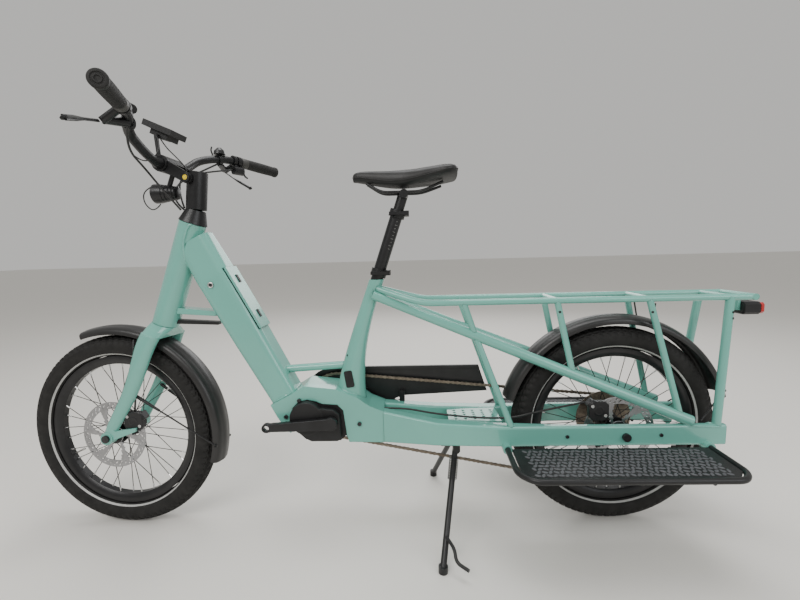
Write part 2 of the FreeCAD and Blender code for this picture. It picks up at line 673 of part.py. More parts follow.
def saddle_section(x, half_side, low, high):
    """An upright oval."""
    centre = V(x, 0, (low + high) / 2)
    return Part.Wire([Part.Ellipse(centre + V(0, half_side, 0), centre + V(0, 0, (high - low) / 2),
                                   centre).toShape()]) if half_side > (high - low) / 2 else \
        Part.Wire([Part.Circle(centre, V(1, 0, 0), (high - low) / 2).toShape()])


saddle_form = shape(Part.makeLoft([saddle_section(*s) for s in SADDLE], True), "saddle")
node("saddle", cut(saddle_form, [clamp] + seat_rails))

# ================================================================ WHEELS
wheel_r, section_r = dim("wheel_radius"), dim("tyre_radius")
rim_r, bed_r, rim_half = dim("rim_outer"), dim("rim_inner"), dim("rim_half_width")
BEAD_ANGLE = 32
TYRE_STEPS = 17
RIM_WALL, RIM_WELL = 2.5, 12.0
SPOKES = 36
FLANGE_RADIUS, FLANGE_SIDE = 26.0, 30.0
CROSSING = 60.0


def tyre_profile():
    """The tyre's section: an open ring over the rim."""
    middle = wheel_r - section_r
    angles = [math.radians(BEAD_ANGLE + (360 - 2 * BEAD_ANGLE) * k / (TYRE_STEPS - 1))
              for k in range(TYRE_STEPS)]
    outer = [(section_r * math.sin(a), middle - section_r * math.cos(a)) for a in angles]
    inner_r = section_r - dim("tyre_wall")
    inner = [(inner_r * math.sin(a), middle - inner_r * math.cos(a)) for a in reversed(angles)]
    return outer + inner


def rim_profile():
    """A double-walled rim with two flanges."""
    return [(-rim_half + 2, rim_r), (-rim_half + 2 + RIM_WALL, rim_r),
            (-rim_half + 2 + RIM_WALL, rim_r - 8), (-6, rim_r - RIM_WELL), (6, rim_r - RIM_WELL),
            (rim_half - 2 - RIM_WALL, rim_r - 8), (rim_half - 2 - RIM_WALL, rim_r),
            (rim_half - 2, rim_r), (rim_half - 2, rim_r - 11), (8, bed_r), (-8, bed_r),
            (-rim_half + 2, rim_r - 11)]


def hub_profile(half_length, bore, freehub):
    """A hub shell with two flanges; a rear one ends in a freehub body on the right."""
    flange, side = FLANGE_RADIUS + 4, FLANGE_SIDE
    shoulder = 9 if freehub else 6
    right_end = [(side + 2, flange), (side + 2, 17), (freehub, 17), (freehub, 9), (half_length, 9)] \
        if freehub else [(side + 2, flange), (side + 2, 16), (half_length - 6, 16),
                         (half_length - 6, 9), (half_length, 9)]
    return ([(-half_length, bore), (-half_length, 9), (-half_length + shoulder, 9),
             (-half_length + shoulder, 17),
             (-side - 2, 17), (-side - 2, flange), (-side + 1, flange), (-side + 1, 17),
             (side - 1, 17), (side - 1, flange)] + right_end + [(half_length, bore)])


def spokes(centre):
    """Crossed spokes from both flanges to the rim."""
    rods = []
    per_side = SPOKES // 2
    for side in SIDES:
        for number in range(per_side):
            at_hub = number * 360.0 / per_side + (0 if side == LEFT else 10)
            lead = 1 if number % 2 == 0 else -1
            at_rim = math.radians(at_hub + lead * CROSSING)
            at_hub = math.radians(at_hub)
            flange_side = side * (FLANGE_SIDE + 1.5 * lead)
            start = centre + V(FLANGE_RADIUS * math.cos(at_hub), flange_side,
                               FLANGE_RADIUS * math.sin(at_hub))
            end = centre + V((bed_r - 0.1) * math.cos(at_rim), side * 4, (bed_r - 0.1) * math.sin(at_rim))
            rods.append(rod(start, end, "Dims.spoke_od / 2"))
    return rods


ROTOR_THICK, ROTOR_BAND = 2.0, 15.0
ROTOR_ARMS = 6


def rotor(centre, side_from):
    """A disc brake rotor: a drilled friction ring on curved arms, bolted to the hub."""
    radius = dim("rotor_radius")
    cell = 360.0 / ROTOR_ARMS
    windows, drills = [], []
    for number in range(ROTOR_ARMS):
        corners = [(30, 8), (30, 44), (radius - ROTOR_BAND, 70), (radius - ROTOR_BAND, 50),
                   (radius - ROTOR_BAND, 30)]
        windows.append([(r * math.cos(math.radians(a + number * cell)),
                         r * math.sin(math.radians(a + number * cell))) for r, a in corners])
    for number in range(4 * ROTOR_ARMS):
        a = math.radians(number * cell / 4)
        r = radius - (4.5 if number % 2 else 10)
        drills.append((r * math.cos(a), r * math.sin(a), 2.4))
    body = plate(None, side_from, side_from + ROTOR_THICK, windows,
                 [(0, 0, "Dims.rotor_radius"), (0, 0, 17.0)] + drills)
    body.Placement = Placement(centre, Rotation())
    return body


def wheel(name, centre, half_length, freehub, rotor_side, placement):
    """Tyre, rim, spokes and hub of one wheel; the rotor is bolted to the hub."""
    bore = dim("axle_od") / 2 + gap
    node(name + "_tyre", turned(tyre_profile(), centre=centre), placement)
    node(name + "_rim", turned(rim_profile(), centre=centre), placement)
    group(name + "_spokes", spokes(centre), placement)
    hub_shell = turned(hub_profile(half_length, bore, freehub), centre=centre)
    group(name + "_hub", [hub_shell, rotor(centre, rotor_side)], placement)


FRONT_HUB_HALF = 50.0
REAR_ROTOR, FRONT_ROTOR = -48.0, -44.0
wheel("rear", REAR_AXLE, HUB_HALF, 65.0, REAR_ROTOR, ROOT)
wheel("front", FRONT_AXLE, FRONT_HUB_HALF, 0, FRONT_ROTOR, STEERED)

# ================================================================ DRIVE
CHAINRING_TEETH, COG_TEETH = 46, 30
TOOTH_PITCH = 12.7
TOOTH_TIP, TOOTH_ROOT = 3.6, 4.2
RING_THICK = 2.0
chain_line = dim("chain_line")


def toothed_outline(teeth, pitch_radius):
    """A sprocket's edge: a flat tip and a flat root for each tooth."""
    points = []
    for number in range(teeth):
        for share, radius in ((0.0, pitch_radius + TOOTH_TIP), (0.16, pitch_radius + TOOTH_TIP),
                              (0.40, pitch_radius - TOOTH_ROOT), (0.76, pitch_radius - TOOTH_ROOT)):
            a = math.radians(360.0 * (number + share) / teeth)
            points.append((radius * math.cos(a), radius * math.sin(a)))
    return points


ring_r = dim("chainring_radius")
WINDOWS = 5
ring_windows = []
for number in range(WINDOWS):
    ring_windows.append([(r * math.cos(math.radians(a + 72 * number)),
                          r * math.sin(math.radians(a + 72 * number)))
                         for r, a in ((26, 14), (26, 58), (ring_r - 18, 62), (ring_r - 16, 36),
                                      (ring_r - 18, 10))])
chainring = plate(toothed_outline(CHAINRING_TEETH, ring_r), chain_line - RING_THICK / 2,
                  chain_line + RING_THICK / 2, ring_windows, [(0, 0, "Dims.spindle_od / 2")])
chainring.Placement = Placement(CRANK, Rotation())
node("chainring", chainring)

ARM_THICK, ARM_HUB, ARM_EYE = 14.0, 17.0, 12.0
PEDAL_HOLE = 7.14
face = dim("crank_face")
droop = math.radians(dim("crank_droop"))
spindle = rod(CRANK + V(0, -face + 2, 0), CRANK + V(0, face - 2, 0), "Dims.spindle_od / 2")
arm_parts, eye_holes = [spindle], []
eyes = {}
for side in SIDES:
    reach = V(math.cos(droop), 0, math.sin(droop)) * (dim("crank_length") * side)
    eye = CRANK + reach
    eyes[side] = eye
    across = V(-math.sin(droop), 0, math.cos(droop))
    inner_side, outer_side = sorted((side * (face - ARM_THICK), side * face))
    hub_end = rod(V(CRANK.x, inner_side, CRANK.z), V(CRANK.x, outer_side, CRANK.z), ARM_HUB)
    eye_end = rod(V(eye.x, inner_side, eye.z), V(eye.x, outer_side, eye.z), ARM_EYE)
    corners = [CRANK + across * (ARM_HUB - 2), eye + across * (ARM_EYE - 2),
               eye - across * (ARM_EYE - 2), CRANK - across * (ARM_HUB - 2)]
    web = plate([(c.x, c.z) for c in corners], inner_side, outer_side)
    arm_parts += [hub_end, eye_end, web]
    eye_holes.append(rod(V(eye.x, inner_side - 5, eye.z), V(eye.x, outer_side + 5, eye.z), PEDAL_HOLE))
node("crank_arms", cut(fuse(arm_parts), eye_holes))

# Cassette: sprockets on a common sleeve, the largest next to the spokes.
COG_SIDES = [(38, 72.7), (42, 64.7), (46, 62.6), (50, 60.6), (54, 48.5), (58, 38.4), (62, 26.3)]
COG_THICK, SLEEVE, SLEEVE_BORE = 1.8, 21.0, 17.05
cassette_profile = [(36, SLEEVE_BORE), (36, SLEEVE)]
for middle, radius in COG_SIDES:
    cassette_profile += [(middle - COG_THICK / 2, SLEEVE), (middle - COG_THICK / 2, radius + 2),
                         (middle + COG_THICK / 2, radius + 2), (middle + COG_THICK / 2, SLEEVE)]
cassette_profile += [(64, SLEEVE), (64, SLEEVE_BORE)]
node("cassette", turned(cassette_profile, centre=REAR_AXLE))

# The chain runs over the chainring and the sprocket in use, then between two guide wheels.
COUNTER_CLOCK, CLOCKWISE = -1, 1
UPPER_GUIDE, LOWER_GUIDE, GUIDE_RADIUS = (611, 172), (574, 92), 22.0
CHAIN_LOOP = [
    (CRANK.x, CRANK.z, ring_r, CLOCKWISE), (REAR_AXLE.x, REAR_AXLE.z, dim("cog_radius"), CLOCKWISE),
    (UPPER_GUIDE[0], UPPER_GUIDE[1], GUIDE_RADIUS, COUNTER_CLOCK),
    (LOWER_GUIDE[0], LOWER_GUIDE[1], GUIDE_RADIUS, CLOCKWISE),
]
CHAIN_HALF = 4.2


def belt_wire(loop, grow, y):
    """A closed line of tangents and arcs round a loop of circles, moved outwards by grow."""
    rings = [(V(x, y, z), radius + grow * turn, turn) for x, z, radius, turn in loop]
    leaves, meets = [], []
    for (centre, radius, turn), (next_centre, next_radius, next_turn) in zip(rings, rings[1:] + rings[:1]):
        between = next_centre - centre
        length = between.Length
        ahead = between / length
        left = V(-ahead.z, 0, ahead.x)
        lean = (radius * turn - next_radius * next_turn) / length
        normal = ahead * lean + left * math.sqrt(1 - lean * lean)
        leaves.append(centre + normal * (radius * turn))
        meets.append(next_centre + normal * (next_radius * next_turn))
    edges = []
    for number, (centre, radius, turn) in enumerate(rings):
        arrive, leave = meets[number - 1], leaves[number]
        a = math.atan2(arrive.z - centre.z, arrive.x - centre.x)
        b = math.atan2(leave.z - centre.z, leave.x - centre.x)
        sweep = (a - b) % (2 * math.pi) if turn == CLOCKWISE else -((b - a) % (2 * math.pi))
        half_way = a - sweep / 2
        middle = centre + V(math.cos(half_way), 0, math.sin(half_way)) * radius
        edges.append(Part.Arc(arrive, middle, leave).toShape())
        edges.append(Part.LineSegment(leave, meets[number]).toShape())
    return Part.Wire(edges)


chain_plates = []
for y in (chain_line - 2.95, chain_line + 1.45):
    outer_edge = Part.Face(belt_wire(CHAIN_LOOP, CHAIN_HALF, y))
    band = outer_edge.cut(Part.Face(belt_wire(CHAIN_LOOP, -CHAIN_HALF, y))).Faces[0]
    chain_plates.append(shape(band.extrude(V(0, 1.5, 0)), "chain_plate"))
group("chain", chain_plates)

# Derailleur: it hangs from the right dropout and carries the two guide wheels.
CAGE_SIDES = (chain_line - 6.5, chain_line + 5.0)
upper_guide, lower_guide = V(UPPER_GUIDE[0], 0, UPPER_GUIDE[1]), V(LOWER_GUIDE[0], 0, LOWER_GUIDE[1])
cage_parts = []
for y in CAGE_SIDES:
    run = lower_guide - upper_guide
    run.normalize()
    flank = V(-run.z, 0, run.x) * 9
    corners = [upper_guide + flank, lower_guide + flank, lower_guide - flank, upper_guide - flank]
    cage_parts.append(plate([(c.x, c.z) for c in corners], y, y + 1.5))
for guide in (upper_guide, lower_guide):
    cage_parts.append(rod(guide + V(0, CAGE_SIDES[0], 0), guide + V(0, CAGE_SIDES[1] + 1.5, 0), 3))
    cage_parts.append(rod(guide + V(0, chain_line - 1, 0), guide + V(0, chain_line + 1, 0),
                          GUIDE_RADIUS - CHAIN_HALF))
knuckle = [rod(V(628, 65, 226), V(628, 75, 226), 11), rod(V(611, 56.5, 172), V(611, 70, 172), 12),
           plate([(620, 234), (638, 222), (621, 164), (602, 176)], 60, 70)]
hanger = plate([(607, 250), (640, 245), (640, 220), (620, 214)], 67, 75)
node("derailleur", cut(fuse(cage_parts + knuckle + [hanger]), stay_solids))

GUARD = [(-222, 346), (-216, 366), (-200, 385), (-180, 400), (-156, 410), (-120, 414), (-48, 414),
         (272, 414), (297, 338), (58, 327), (1, 304), (-32, 280), (-60, 285), (-96, 324), (-150, 334)]
GUARD_SIDE, GUARD_THICK, GUARD_RIM = 60.0, 2.0, 6.0
guard_face = plate(GUARD, GUARD_SIDE, GUARD_SIDE + GUARD_THICK)
guard_lip = plate([(-156, 410), (-120, 414), (272, 414), (275, 406), (-120, 406), (-150, 402)],
                  GUARD_SIDE - GUARD_RIM, GUARD_SIDE)
guard_foot = block(V(50, 46, 312), V(64, GUARD_SIDE, 345))
node("chainguard", cut(fuse([guard_face, guard_lip, guard_foot]), stay_solids))

# ================================================================ BRAKE CALIPERS
CALIPER_HALF_LENGTH, CALIPER_HALF_HEIGHT = 31.0, 30.0
PAD_THICK, PAD_GAP = 3.0, 0.3


def caliper(axle, ahead, up, rotor_side, inner_side, outer_side):
    """A caliper over the rotor's edge: a slotted body with two pads in it."""
    low, high = rotor_side, rotor_side + ROTOR_THICK
    centre = axle + V(ahead, 0, up)
    hull = block(V(centre.x - CALIPER_HALF_LENGTH, outer_side, centre.z - CALIPER_HALF_HEIGHT),
                 V(centre.x + CALIPER_HALF_LENGTH, inner_side, centre.z + CALIPER_HALF_HEIGHT))
    slot = PAD_THICK + PAD_GAP
    slot_disc = rod(axle + V(0, low - slot, 0), axle + V(0, high + slot, 0), dim("rotor_radius") + 2)
    core = rod(axle + V(0, -90, 0), axle + V(0, 90, 0), dim("rotor_radius") - 22)
    body = cut(hull, [slot_disc, core])
    pads = []
    for pad_low in (low - slot, high + PAD_GAP):
        blank = rod(V(axle.x, pad_low, axle.z), V(axle.x, pad_low + PAD_THICK, axle.z),
                    dim("rotor_radius"))
        bore = rod(axle + V(0, -90, 0), axle + V(0, 90, 0), dim("rotor_radius") - 14)
        window = block(V(centre.x - 17, -90, centre.z - 17), V(centre.x + 17, 90, centre.z + 17))
        common = doc.addObject("Part::Common", scrap_name("pad"))
        common.Base, common.Tool = cut(blank, [bore]), window
        pads.append(common)
    return [body] + pads


group("rear_caliper", caliper(REAR_AXLE, -58, 58.5, REAR_ROTOR, -39, -64))

REAR_HOSE = [V(525, -54, 344), V(440, -60, 330), V(385, -60, 318), V(345, -56, 306), V(300, -47, 301),
             V(250, -42, 301), V(150, -27, 306), V(70, -12, 316), V(10.5, -6, 316)]
node("rear_brake_hose", bent_tube(REAR_HOSE, "Dims.hose_od / 2", name="rear_hose"))

# ================================================================ FENDERS, LIGHT, BOARDS, STAND
FENDER_WALL = 2.0


def fender_profile(radius):
    """A rolled section, open towards the tyre."""
    half_width = dim("fender_half")
    outer = [(-half_width, radius - 20), (-half_width, radius - 9), (-half_width + 8, radius - 3),
             (-12, radius), (12, radius), (half_width - 8, radius - 3), (half_width, radius - 9),
             (half_width, radius - 20)]
    inner = [(side * (1 - FENDER_WALL / half_width), r - FENDER_WALL) for side, r in outer]
    inner[0] = (-half_width + FENDER_WALL, radius - 20)
    inner[-1] = (half_width - FENDER_WALL, radius - 20)
    return outer + inner[::-1]


REAR_FENDER_START, REAR_FENDER_SWEEP = -74.0, 148.0
FRONT_FENDER_START, FRONT_FENDER_SWEEP = -18.0, 124.0
rear_fender = turned(fender_profile(dim("fender_radius")), REAR_FENDER_SWEEP, REAR_FENDER_START,
                     REAR_AXLE)
front_fender = turned(fender_profile(dim("fender_radius") - 5), FRONT_FENDER_SWEEP,
                      FRONT_FENDER_START, FRONT_AXLE)


def polar(centre, radius, degrees, side):
    """A point round a wheel: 0 degrees is rearward, 90 is up."""
    a = math.radians(degrees)
    return centre + V(radius * math.cos(a), side, radius * math.sin(a))


half_width = dim("fender_half")
rear_wires = [rod(polar(REAR_AXLE, 286, 20, side * half_width), V(806, side * 66, 296), 2.0)
              for side in SIDES]
rear_wires += [rod(polar(REAR_AXLE, 286, 74, side * half_width), V(690, side * 49, 592), 2.0)
               for side in SIDES]
node("rear_fender", fuse([rear_fender] + rear_wires))

LIGHT_LOW, LIGHT_HIGH = V(925, -24, 555), V(969, 24, 587)
LENS_HIGH = V(977, 22, 585)
light_body = block(LIGHT_LOW, LIGHT_HIGH)
light_lens = block(V(LIGHT_HIGH.x, -22, 557), LENS_HIGH)
node("rear_light", fuse([light_body, light_lens]))

board_z, board_y = dim("board_height"), dim("board_outer")
BOARD_ROUTE = [V(320, -85, board_z), V(316, -206, board_z), V(346, -board_y, board_z),
               V(784, -board_y, board_z), V(810, -212, board_z), V(812, -85, board_z)]
deck_half = dim("deck_thickness") / 2
DECK = [(330, -100), (326, -203), (350, -231), (780, -231), (800, -209), (802, -100)]
board_tubes, decks = [], []
for side in SIDES:
    route = BOARD_ROUTE if side == LEFT else mirrored(BOARD_ROUTE)
    solid = bent_tube(route, "Dims.board_tube_od / 2", name="board")
    board_tubes.append(solid)
    outline = [(x, -side * y) for x, y in DECK]
    deck = plate(outline if side == LEFT else outline[::-1], board_z - deck_half, board_z + deck_half,
                 role="XY_Plane")
    rungs = [rod(V(x, side * 84, board_z - 7), V(x, side * board_y, board_z - 7), 4)
             for x in (420, 570, 720)]
    decks.append(cut(deck, [solid]))
    board_tubes[-1] = fuse([solid] + rungs)
group("board_tubes", board_tubes)
group("board_decks", [cut(deck, [tubes]) for deck, tubes in zip(decks, board_tubes)])

STAND_PIVOT = V(198, 0, 218)
STAND_FOOT_X = 149.0
STAND_PLATE_LOW, STAND_PLATE_HIGH = 236.0, 240.0
EAR_INNER, EAR_OUTER, EAR_HALF = 50.0, 56.0, 9.0
stand_half = dim("kickstand_half")
bridge = block(V(158, -EAR_OUTER, 231), V(228, EAR_OUTER, STAND_PLATE_HIGH))
ears = []
for side in SIDES:
    low, high = sorted((side * EAR_INNER, side * EAR_OUTER))
    ears.append(block(V(STAND_PIVOT.x - EAR_HALF, low, STAND_PIVOT.z),
                      V(STAND_PIVOT.x + EAR_HALF, high, STAND_PLATE_LOW)))
    ears.append(rod(STAND_PIVOT + V(0, low, 0), STAND_PIVOT + V(0, high, 0), EAR_HALF))
stand_pin = rod(STAND_PIVOT - V(0, EAR_OUTER + 1, 0), STAND_PIVOT + V(0, EAR_OUTER + 1, 0), 5)
cross_plate = plate([(158, -66), (240, -66), (240, 66), (158, 66)], STAND_PLATE_LOW, STAND_PLATE_HIGH,
                    role="XY_Plane")
node("kickstand_bracket", cut(fuse([bridge, cross_plate, stand_pin] + ears), stay_solids))
stand = [rod(STAND_PIVOT - V(0, EAR_INNER - 0.5, 0), STAND_PIVOT + V(0, EAR_INNER - 0.5, 0), 9)]
for side in SIDES:
    leg_top = V(STAND_PIVOT.x - 1, side * 32, STAND_PIVOT.z - 3)
    foot = V(STAND_FOOT_X, side * stand_half, 10)
    stand.append(rod(leg_top, foot, "Dims.kickstand_tube_od / 2"))
    stand.append(rod(V(foot.x, foot.y, 0), V(foot.x, foot.y, 16), 11))
lever_root = V(STAND_FOOT_X + 11, -stand_half + 34, 62)
stand.append(bent_tube([lever_root, V(176, -200, 54), V(178, -216, 34), V(204, -236, 30)], 4.0,
                       name="stand_lever"))
node("kickstand", cut(fuse(stand), [
    rod(STAND_PIVOT - V(0, 60, 0), STAND_PIVOT + V(0, 60, 0), 5 + gap),
]))

# ================================================================ STEERING
# up the axis, ahead of it, to the side, half chord, half thickness
FORK_STATIONS = [(-4, 32, 60, 15, 9), (48, 26, 60, 17, 10), (120, 11, 60, 19, 12),
                 (206, 4, 59, 22, 14), (300, 0, 50, 25, 17)]
CROWN_LOW, CROWN_HIGH = 298.0, 324.0


def fork_section(up, ahead, side, half_chord, half_thick):
    """An oval section of a fork leg, square to the steering axis."""
    centre = on_steerer(up, ahead, side)
    return Part.Wire([Part.Ellipse(centre + STEER_AHEAD * half_chord, centre + V(0, half_thick, 0),
                                   centre).toShape()])


legs = []
for side in SIDES:
    wires = [fork_section(up, ahead, side * y, chord, thick) for up, ahead, y, chord, thick in FORK_STATIONS]
    legs.append(shape(Part.makeLoft(wires, True), "leg"))
    legs.append(rod(FRONT_AXLE + V(0, side * 51, 0), FRONT_AXLE + V(0, side * 71, 0), 17))
crown_wires = [rounded_section(on_steerer(up), V(0, 1, 0), STEER_AHEAD, half_y, chord, corner)
               for up, half_y, chord, corner in ((CROWN_LOW, 65, 25, 20), (312, 50, 28, 24),
                                                 (CROWN_HIGH, 33, 31, 28))]
crown = shape(Part.makeLoft(crown_wires, True, True), "crown")
STEERER_TOP = 640.0
steerer = rod(on_steerer(CROWN_LOW + 4), on_steerer(STEERER_TOP), "Dims.steerer_od / 2")
front_bore = rod(FRONT_AXLE + V(0, -100, 0), FRONT_AXLE + V(0, 100, 0), "Dims.axle_od / 2")
node("fork", cut(fuse(legs + [crown, steerer]), [front_bore]), STEERED)
node("front_axle", fuse([
    rod(FRONT_AXLE + V(0, -76, 0), FRONT_AXLE + V(0, 74, 0), "Dims.axle_od / 2"),
    rod(FRONT_AXLE + V(0, -76, 0), FRONT_AXLE + V(0, -71, 0), 10),
    rod(FRONT_AXLE + V(0, 71, 0), FRONT_AXLE + V(0, 74, 0), 9),
]), STEERED)
front_body, *front_pads = caliper(FRONT_AXLE, 70, 44, FRONT_ROTOR, -35.5, -61.5)
group("front_caliper", [cut(front_body, legs)] + front_pads, STEERED)
front_wires = [rod(polar(FRONT_AXLE, 281, -6, side * half_width), on_steerer(130, 2, side * 50), 2.0)
               for side in SIDES]
fork_hanger = rod(polar(FRONT_AXLE, 290, 66.5, 0), on_steerer(CROWN_LOW + 1), 6)
node("front_fender", cut(fuse([front_fender, fork_hanger] + front_wires), [crown] + legs), STEERED)

MAST_TOP = V(-453, 0, 948)
MAST_RADIUS = 25.0
mast_base = on_steerer(STEERER_TOP)
cone_cap = cut(cone(on_steerer(head_high + 1), mast_base, 35, 23.5),
               [rod(on_steerer(head_high - 5), on_steerer(STEERER_TOP + 5), "Dims.steerer_od / 2")])
mast = rod(mast_base, MAST_TOP, MAST_RADIUS)
PIVOT = V(-464, 0, 930)
PIVOT_RADIUS = 5.0
pivot_bore = rod(PIVOT + V(0, -60, 0), PIVOT + V(0, 60, 0), PIVOT_RADIUS + gap)
group("stem_mast", [cone_cap, cut(mast, [pivot_bore, steerer])], STEERED)

# ================================================================ HANDLEBAR
BAR_CENTRE = V(-530, 0, 968)
BAR_ROUTE = [V(-530, 62, 968), V(-533, 128, 1014), V(-478, 196, 1031), V(-396, 360, 1022)]
GRIP_LENGTH, GRIP_END = 135.0, 4.0
bar_route = mirrored(BAR_ROUTE)[::-1] + BAR_ROUTE
bar = bent_tube(bar_route, "Dims.bar_od / 2", bend=0.3, name="handlebar")
bar_bulge = rod(BAR_CENTRE - V(0, 38, 0), BAR_CENTRE + V(0, 38, 0), "Dims.bar_clamp_od / 2")
node("handlebar", fuse([bar, bar_bulge]), STEERED)

ARM_INNER, ARM_OUTER = 26.5, 34.0
arm_run = BAR_CENTRE - PIVOT
arm_run.normalize()
arm_up = V(-arm_run.z, 0, arm_run.x) * -1
stem_parts = []
for side in SIDES:
    low, high = sorted((side * ARM_INNER, side * ARM_OUTER))
    corners = [PIVOT + arm_up * 13, BAR_CENTRE + arm_up * 15, BAR_CENTRE - arm_up * 15, PIVOT - arm_up * 13]
    stem_parts.append(plate([(c.x, c.z) for c in corners], low, high))
    stem_parts.append(rod(PIVOT + V(0, low, 0), PIVOT + V(0, high, 0), 14))
clamp_ring = rod(BAR_CENTRE - V(0, ARM_OUTER, 0), BAR_CENTRE + V(0, ARM_OUTER, 0), 21)
bridge_low = PIVOT + arm_run * 48
corners = [bridge_low + arm_up * 14, BAR_CENTRE + arm_up * 15, BAR_CENTRE - arm_up * 15,
           bridge_low - arm_up * 14]
stem_parts.append(plate([(c.x, c.z) for c in corners], -ARM_OUTER, ARM_OUTER))
pivot_pin = rod(PIVOT + V(0, -ARM_OUTER - 4, 0), PIVOT + V(0, ARM_OUTER + 4, 0), PIVOT_RADIUS)
pivot_caps = [rod(PIVOT + V(0, side * ARM_OUTER, 0), PIVOT + V(0, side * (ARM_OUTER + 4), 0), 9)
              for side in SIDES]
node("stem_arm", cut(fuse(stem_parts + [clamp_ring, pivot_pin] + pivot_caps), [bar_bulge, bar]), STEERED)

# The headlight hangs under the stem arm on a short bracket.
LAMP_FRONT, LAMP_STEP, LAMP_REAR = V(-572, 0, 899), V(-556, 0, 899), V(-508, 0, 899)
lamp_cup = fuse([cone(LAMP_STEP, LAMP_REAR, 25, 17), rod(LAMP_FRONT, LAMP_STEP, 25)])
lamp_bracket = plate([(-545, 918), (-524, 914), (-510, 950), (-527, 956)], -7, 7)
node("headlight", cut(fuse([lamp_cup, lamp_bracket]), [clamp_ring] + stem_parts), STEERED)

grip_dir = BAR_ROUTE[-1] - BAR_ROUTE[-2]
grip_dir.normalize()
bar_tip = BAR_ROUTE[-1]


def to_side(point, side):
    """The same point on the rider's left or right."""
    return V(point.x, side * abs(point.y) if side == RIGHT else -point.y, point.z)


grips = []
for side in SIDES:
    inner_end = to_side(bar_tip - grip_dir * GRIP_LENGTH, side)
    outer_end = to_side(bar_tip + grip_dir * GRIP_END, side)
    grips.append(cut(rod(inner_end, outer_end, "Dims.grip_od / 2"), [bar]))
group("grips", grips, STEERED)

LEVER_CLAMP = bar_tip - grip_dir * (GRIP_LENGTH + 9)
LEVER_PIVOT = V(-506, 232, 1003)
LEVER_ELBOW, LEVER_TIP = V(-500, 290, 988), V(-479, 345, 970)
clamps = []
for side in SIDES:
    ring_start = to_side(LEVER_CLAMP - grip_dir * 6, side)
    ring_end = to_side(LEVER_CLAMP + grip_dir * 6, side)
    at_bar, pivot = to_side(LEVER_CLAMP, side), to_side(LEVER_PIVOT, side)
    inboard = to_side(LEVER_PIVOT + V(14, -52, 12), side)
    housing = rod(at_bar, pivot, 8)
    reservoir = rod(inboard, to_side(LEVER_PIVOT + V(2, -4, 4), side), 9)
    lever_slot = rod(to_side(LEVER_PIVOT + V(-1.2, 3, 0), side), to_side(LEVER_TIP, side), 6.5)
    clamps.append(cut(fuse([rod(ring_start, ring_end, 16), housing, reservoir]), [bar, lever_slot]))
SHIFTER = V(-456, 222, 1000)
shifter = cut(fuse([rod(SHIFTER + V(-8, -14, 0), SHIFTER + V(8, 12, 0), 13),
                    rod(to_side(LEVER_CLAMP - grip_dir * 16, RIGHT), SHIFTER, 6),
                    rod(LEVER_CLAMP - grip_dir * 20, LEVER_CLAMP - grip_dir * 10, 15.5)]), [bar])
group("control_clamps", [clamps[0], fuse([cut(clamps[1], [shifter]), shifter])], STEERED)
paddle = bent_tube([SHIFTER + V(8, 18, -2), SHIFTER + V(7, 27, -11), SHIFTER + V(8, 42, -14)], 3.0,
                   name="paddle")
node("shift_paddle", paddle, STEERED)

for side, name in ((LEFT, "left_brake_blade"), (RIGHT, "right_brake_blade")):
    route = [to_side(p, side) for p in (LEVER_PIVOT + V(-0.6, 6, -1.5), LEVER_ELBOW, LEVER_TIP)]
    ball = doc.addObject("Part::Sphere", scrap_name("ball"))
    ball.Radius = 6.5
    ball.Placement = Placement(route[-1], Rotation())
    node(name, fuse([bent_tube(route, 4.0, name="blade"), ball]), STEERED)

# Display on its bracket, remote, bell.
DISPLAY_TILT = 24.0
screen = doc.addObject("Part::Box", scrap_name("display"))
screen.Length, screen.Width, screen.Height = 80, 62, 15
screen.Placement = Placement(V(-574, -31, 1066), Rotation(V(0, 1, 0), DISPLAY_TILT))
puck = doc.addObject("Part::Box", scrap_name("display"))
puck.Length, puck.Width, puck.Height = 48, 44, 14
puck.Placement = screen.Placement * Placement(V(20, 9, -13), Rotation())
display_arm = fuse([rod(V(-538, -30, 1036), BAR_CENTRE + V(-4, -30, 18), 5),
                    rod(V(-538, -30, 1036), V(-538, 24, 1040), 5),
                    rod(BAR_CENTRE + V(0, -38, 0), BAR_CENTRE + V(0, -34.2, 0), 20)])
display = cut(fuse([screen, puck, display_arm]), [bar, bar_bulge, clamp_ring] + stem_parts)
REMOTE = V(-497, -160, 1052)
remote_bar_point = V(-506, -161.4, 1022.4)
remote = cut(fuse([rod(REMOTE + V(-10, 8, 6), REMOTE + V(8, -8, -4), 10),
                         rod(remote_bar_point + V(-4, 5, 0), remote_bar_point + V(4, -5, 0), 15),
                         rod(REMOTE, remote_bar_point, 6)]), [bar])
group("display", [display, remote], STEERED)
BELL = V(-489, 178, 1050)
bell_base = V(-491, 180, 1026)
node("bell", cut(fuse([cone(BELL - V(0, 0, 10), BELL, 17, 15), cone(BELL, BELL + V(0, 0, 9), 15, 6),
                       rod(bell_base, BELL, 6),
                       rod(BELL + V(-4, -1, -17), BELL + V(-22, -4.5, -17), 3.5),
                       rod(bell_base + V(-3, -4, -1), bell_base + V(3, 4, 1), 15)]), [bar, shifter, clamps[1]]), STEERED)
node("bell_striker", bent_tube([BELL + V(-19.5, -4, -12.3), BELL + V(-22, -8, 2), BELL + V(-20, -6, 12)], 2.2,
                               name="striker"), STEERED)

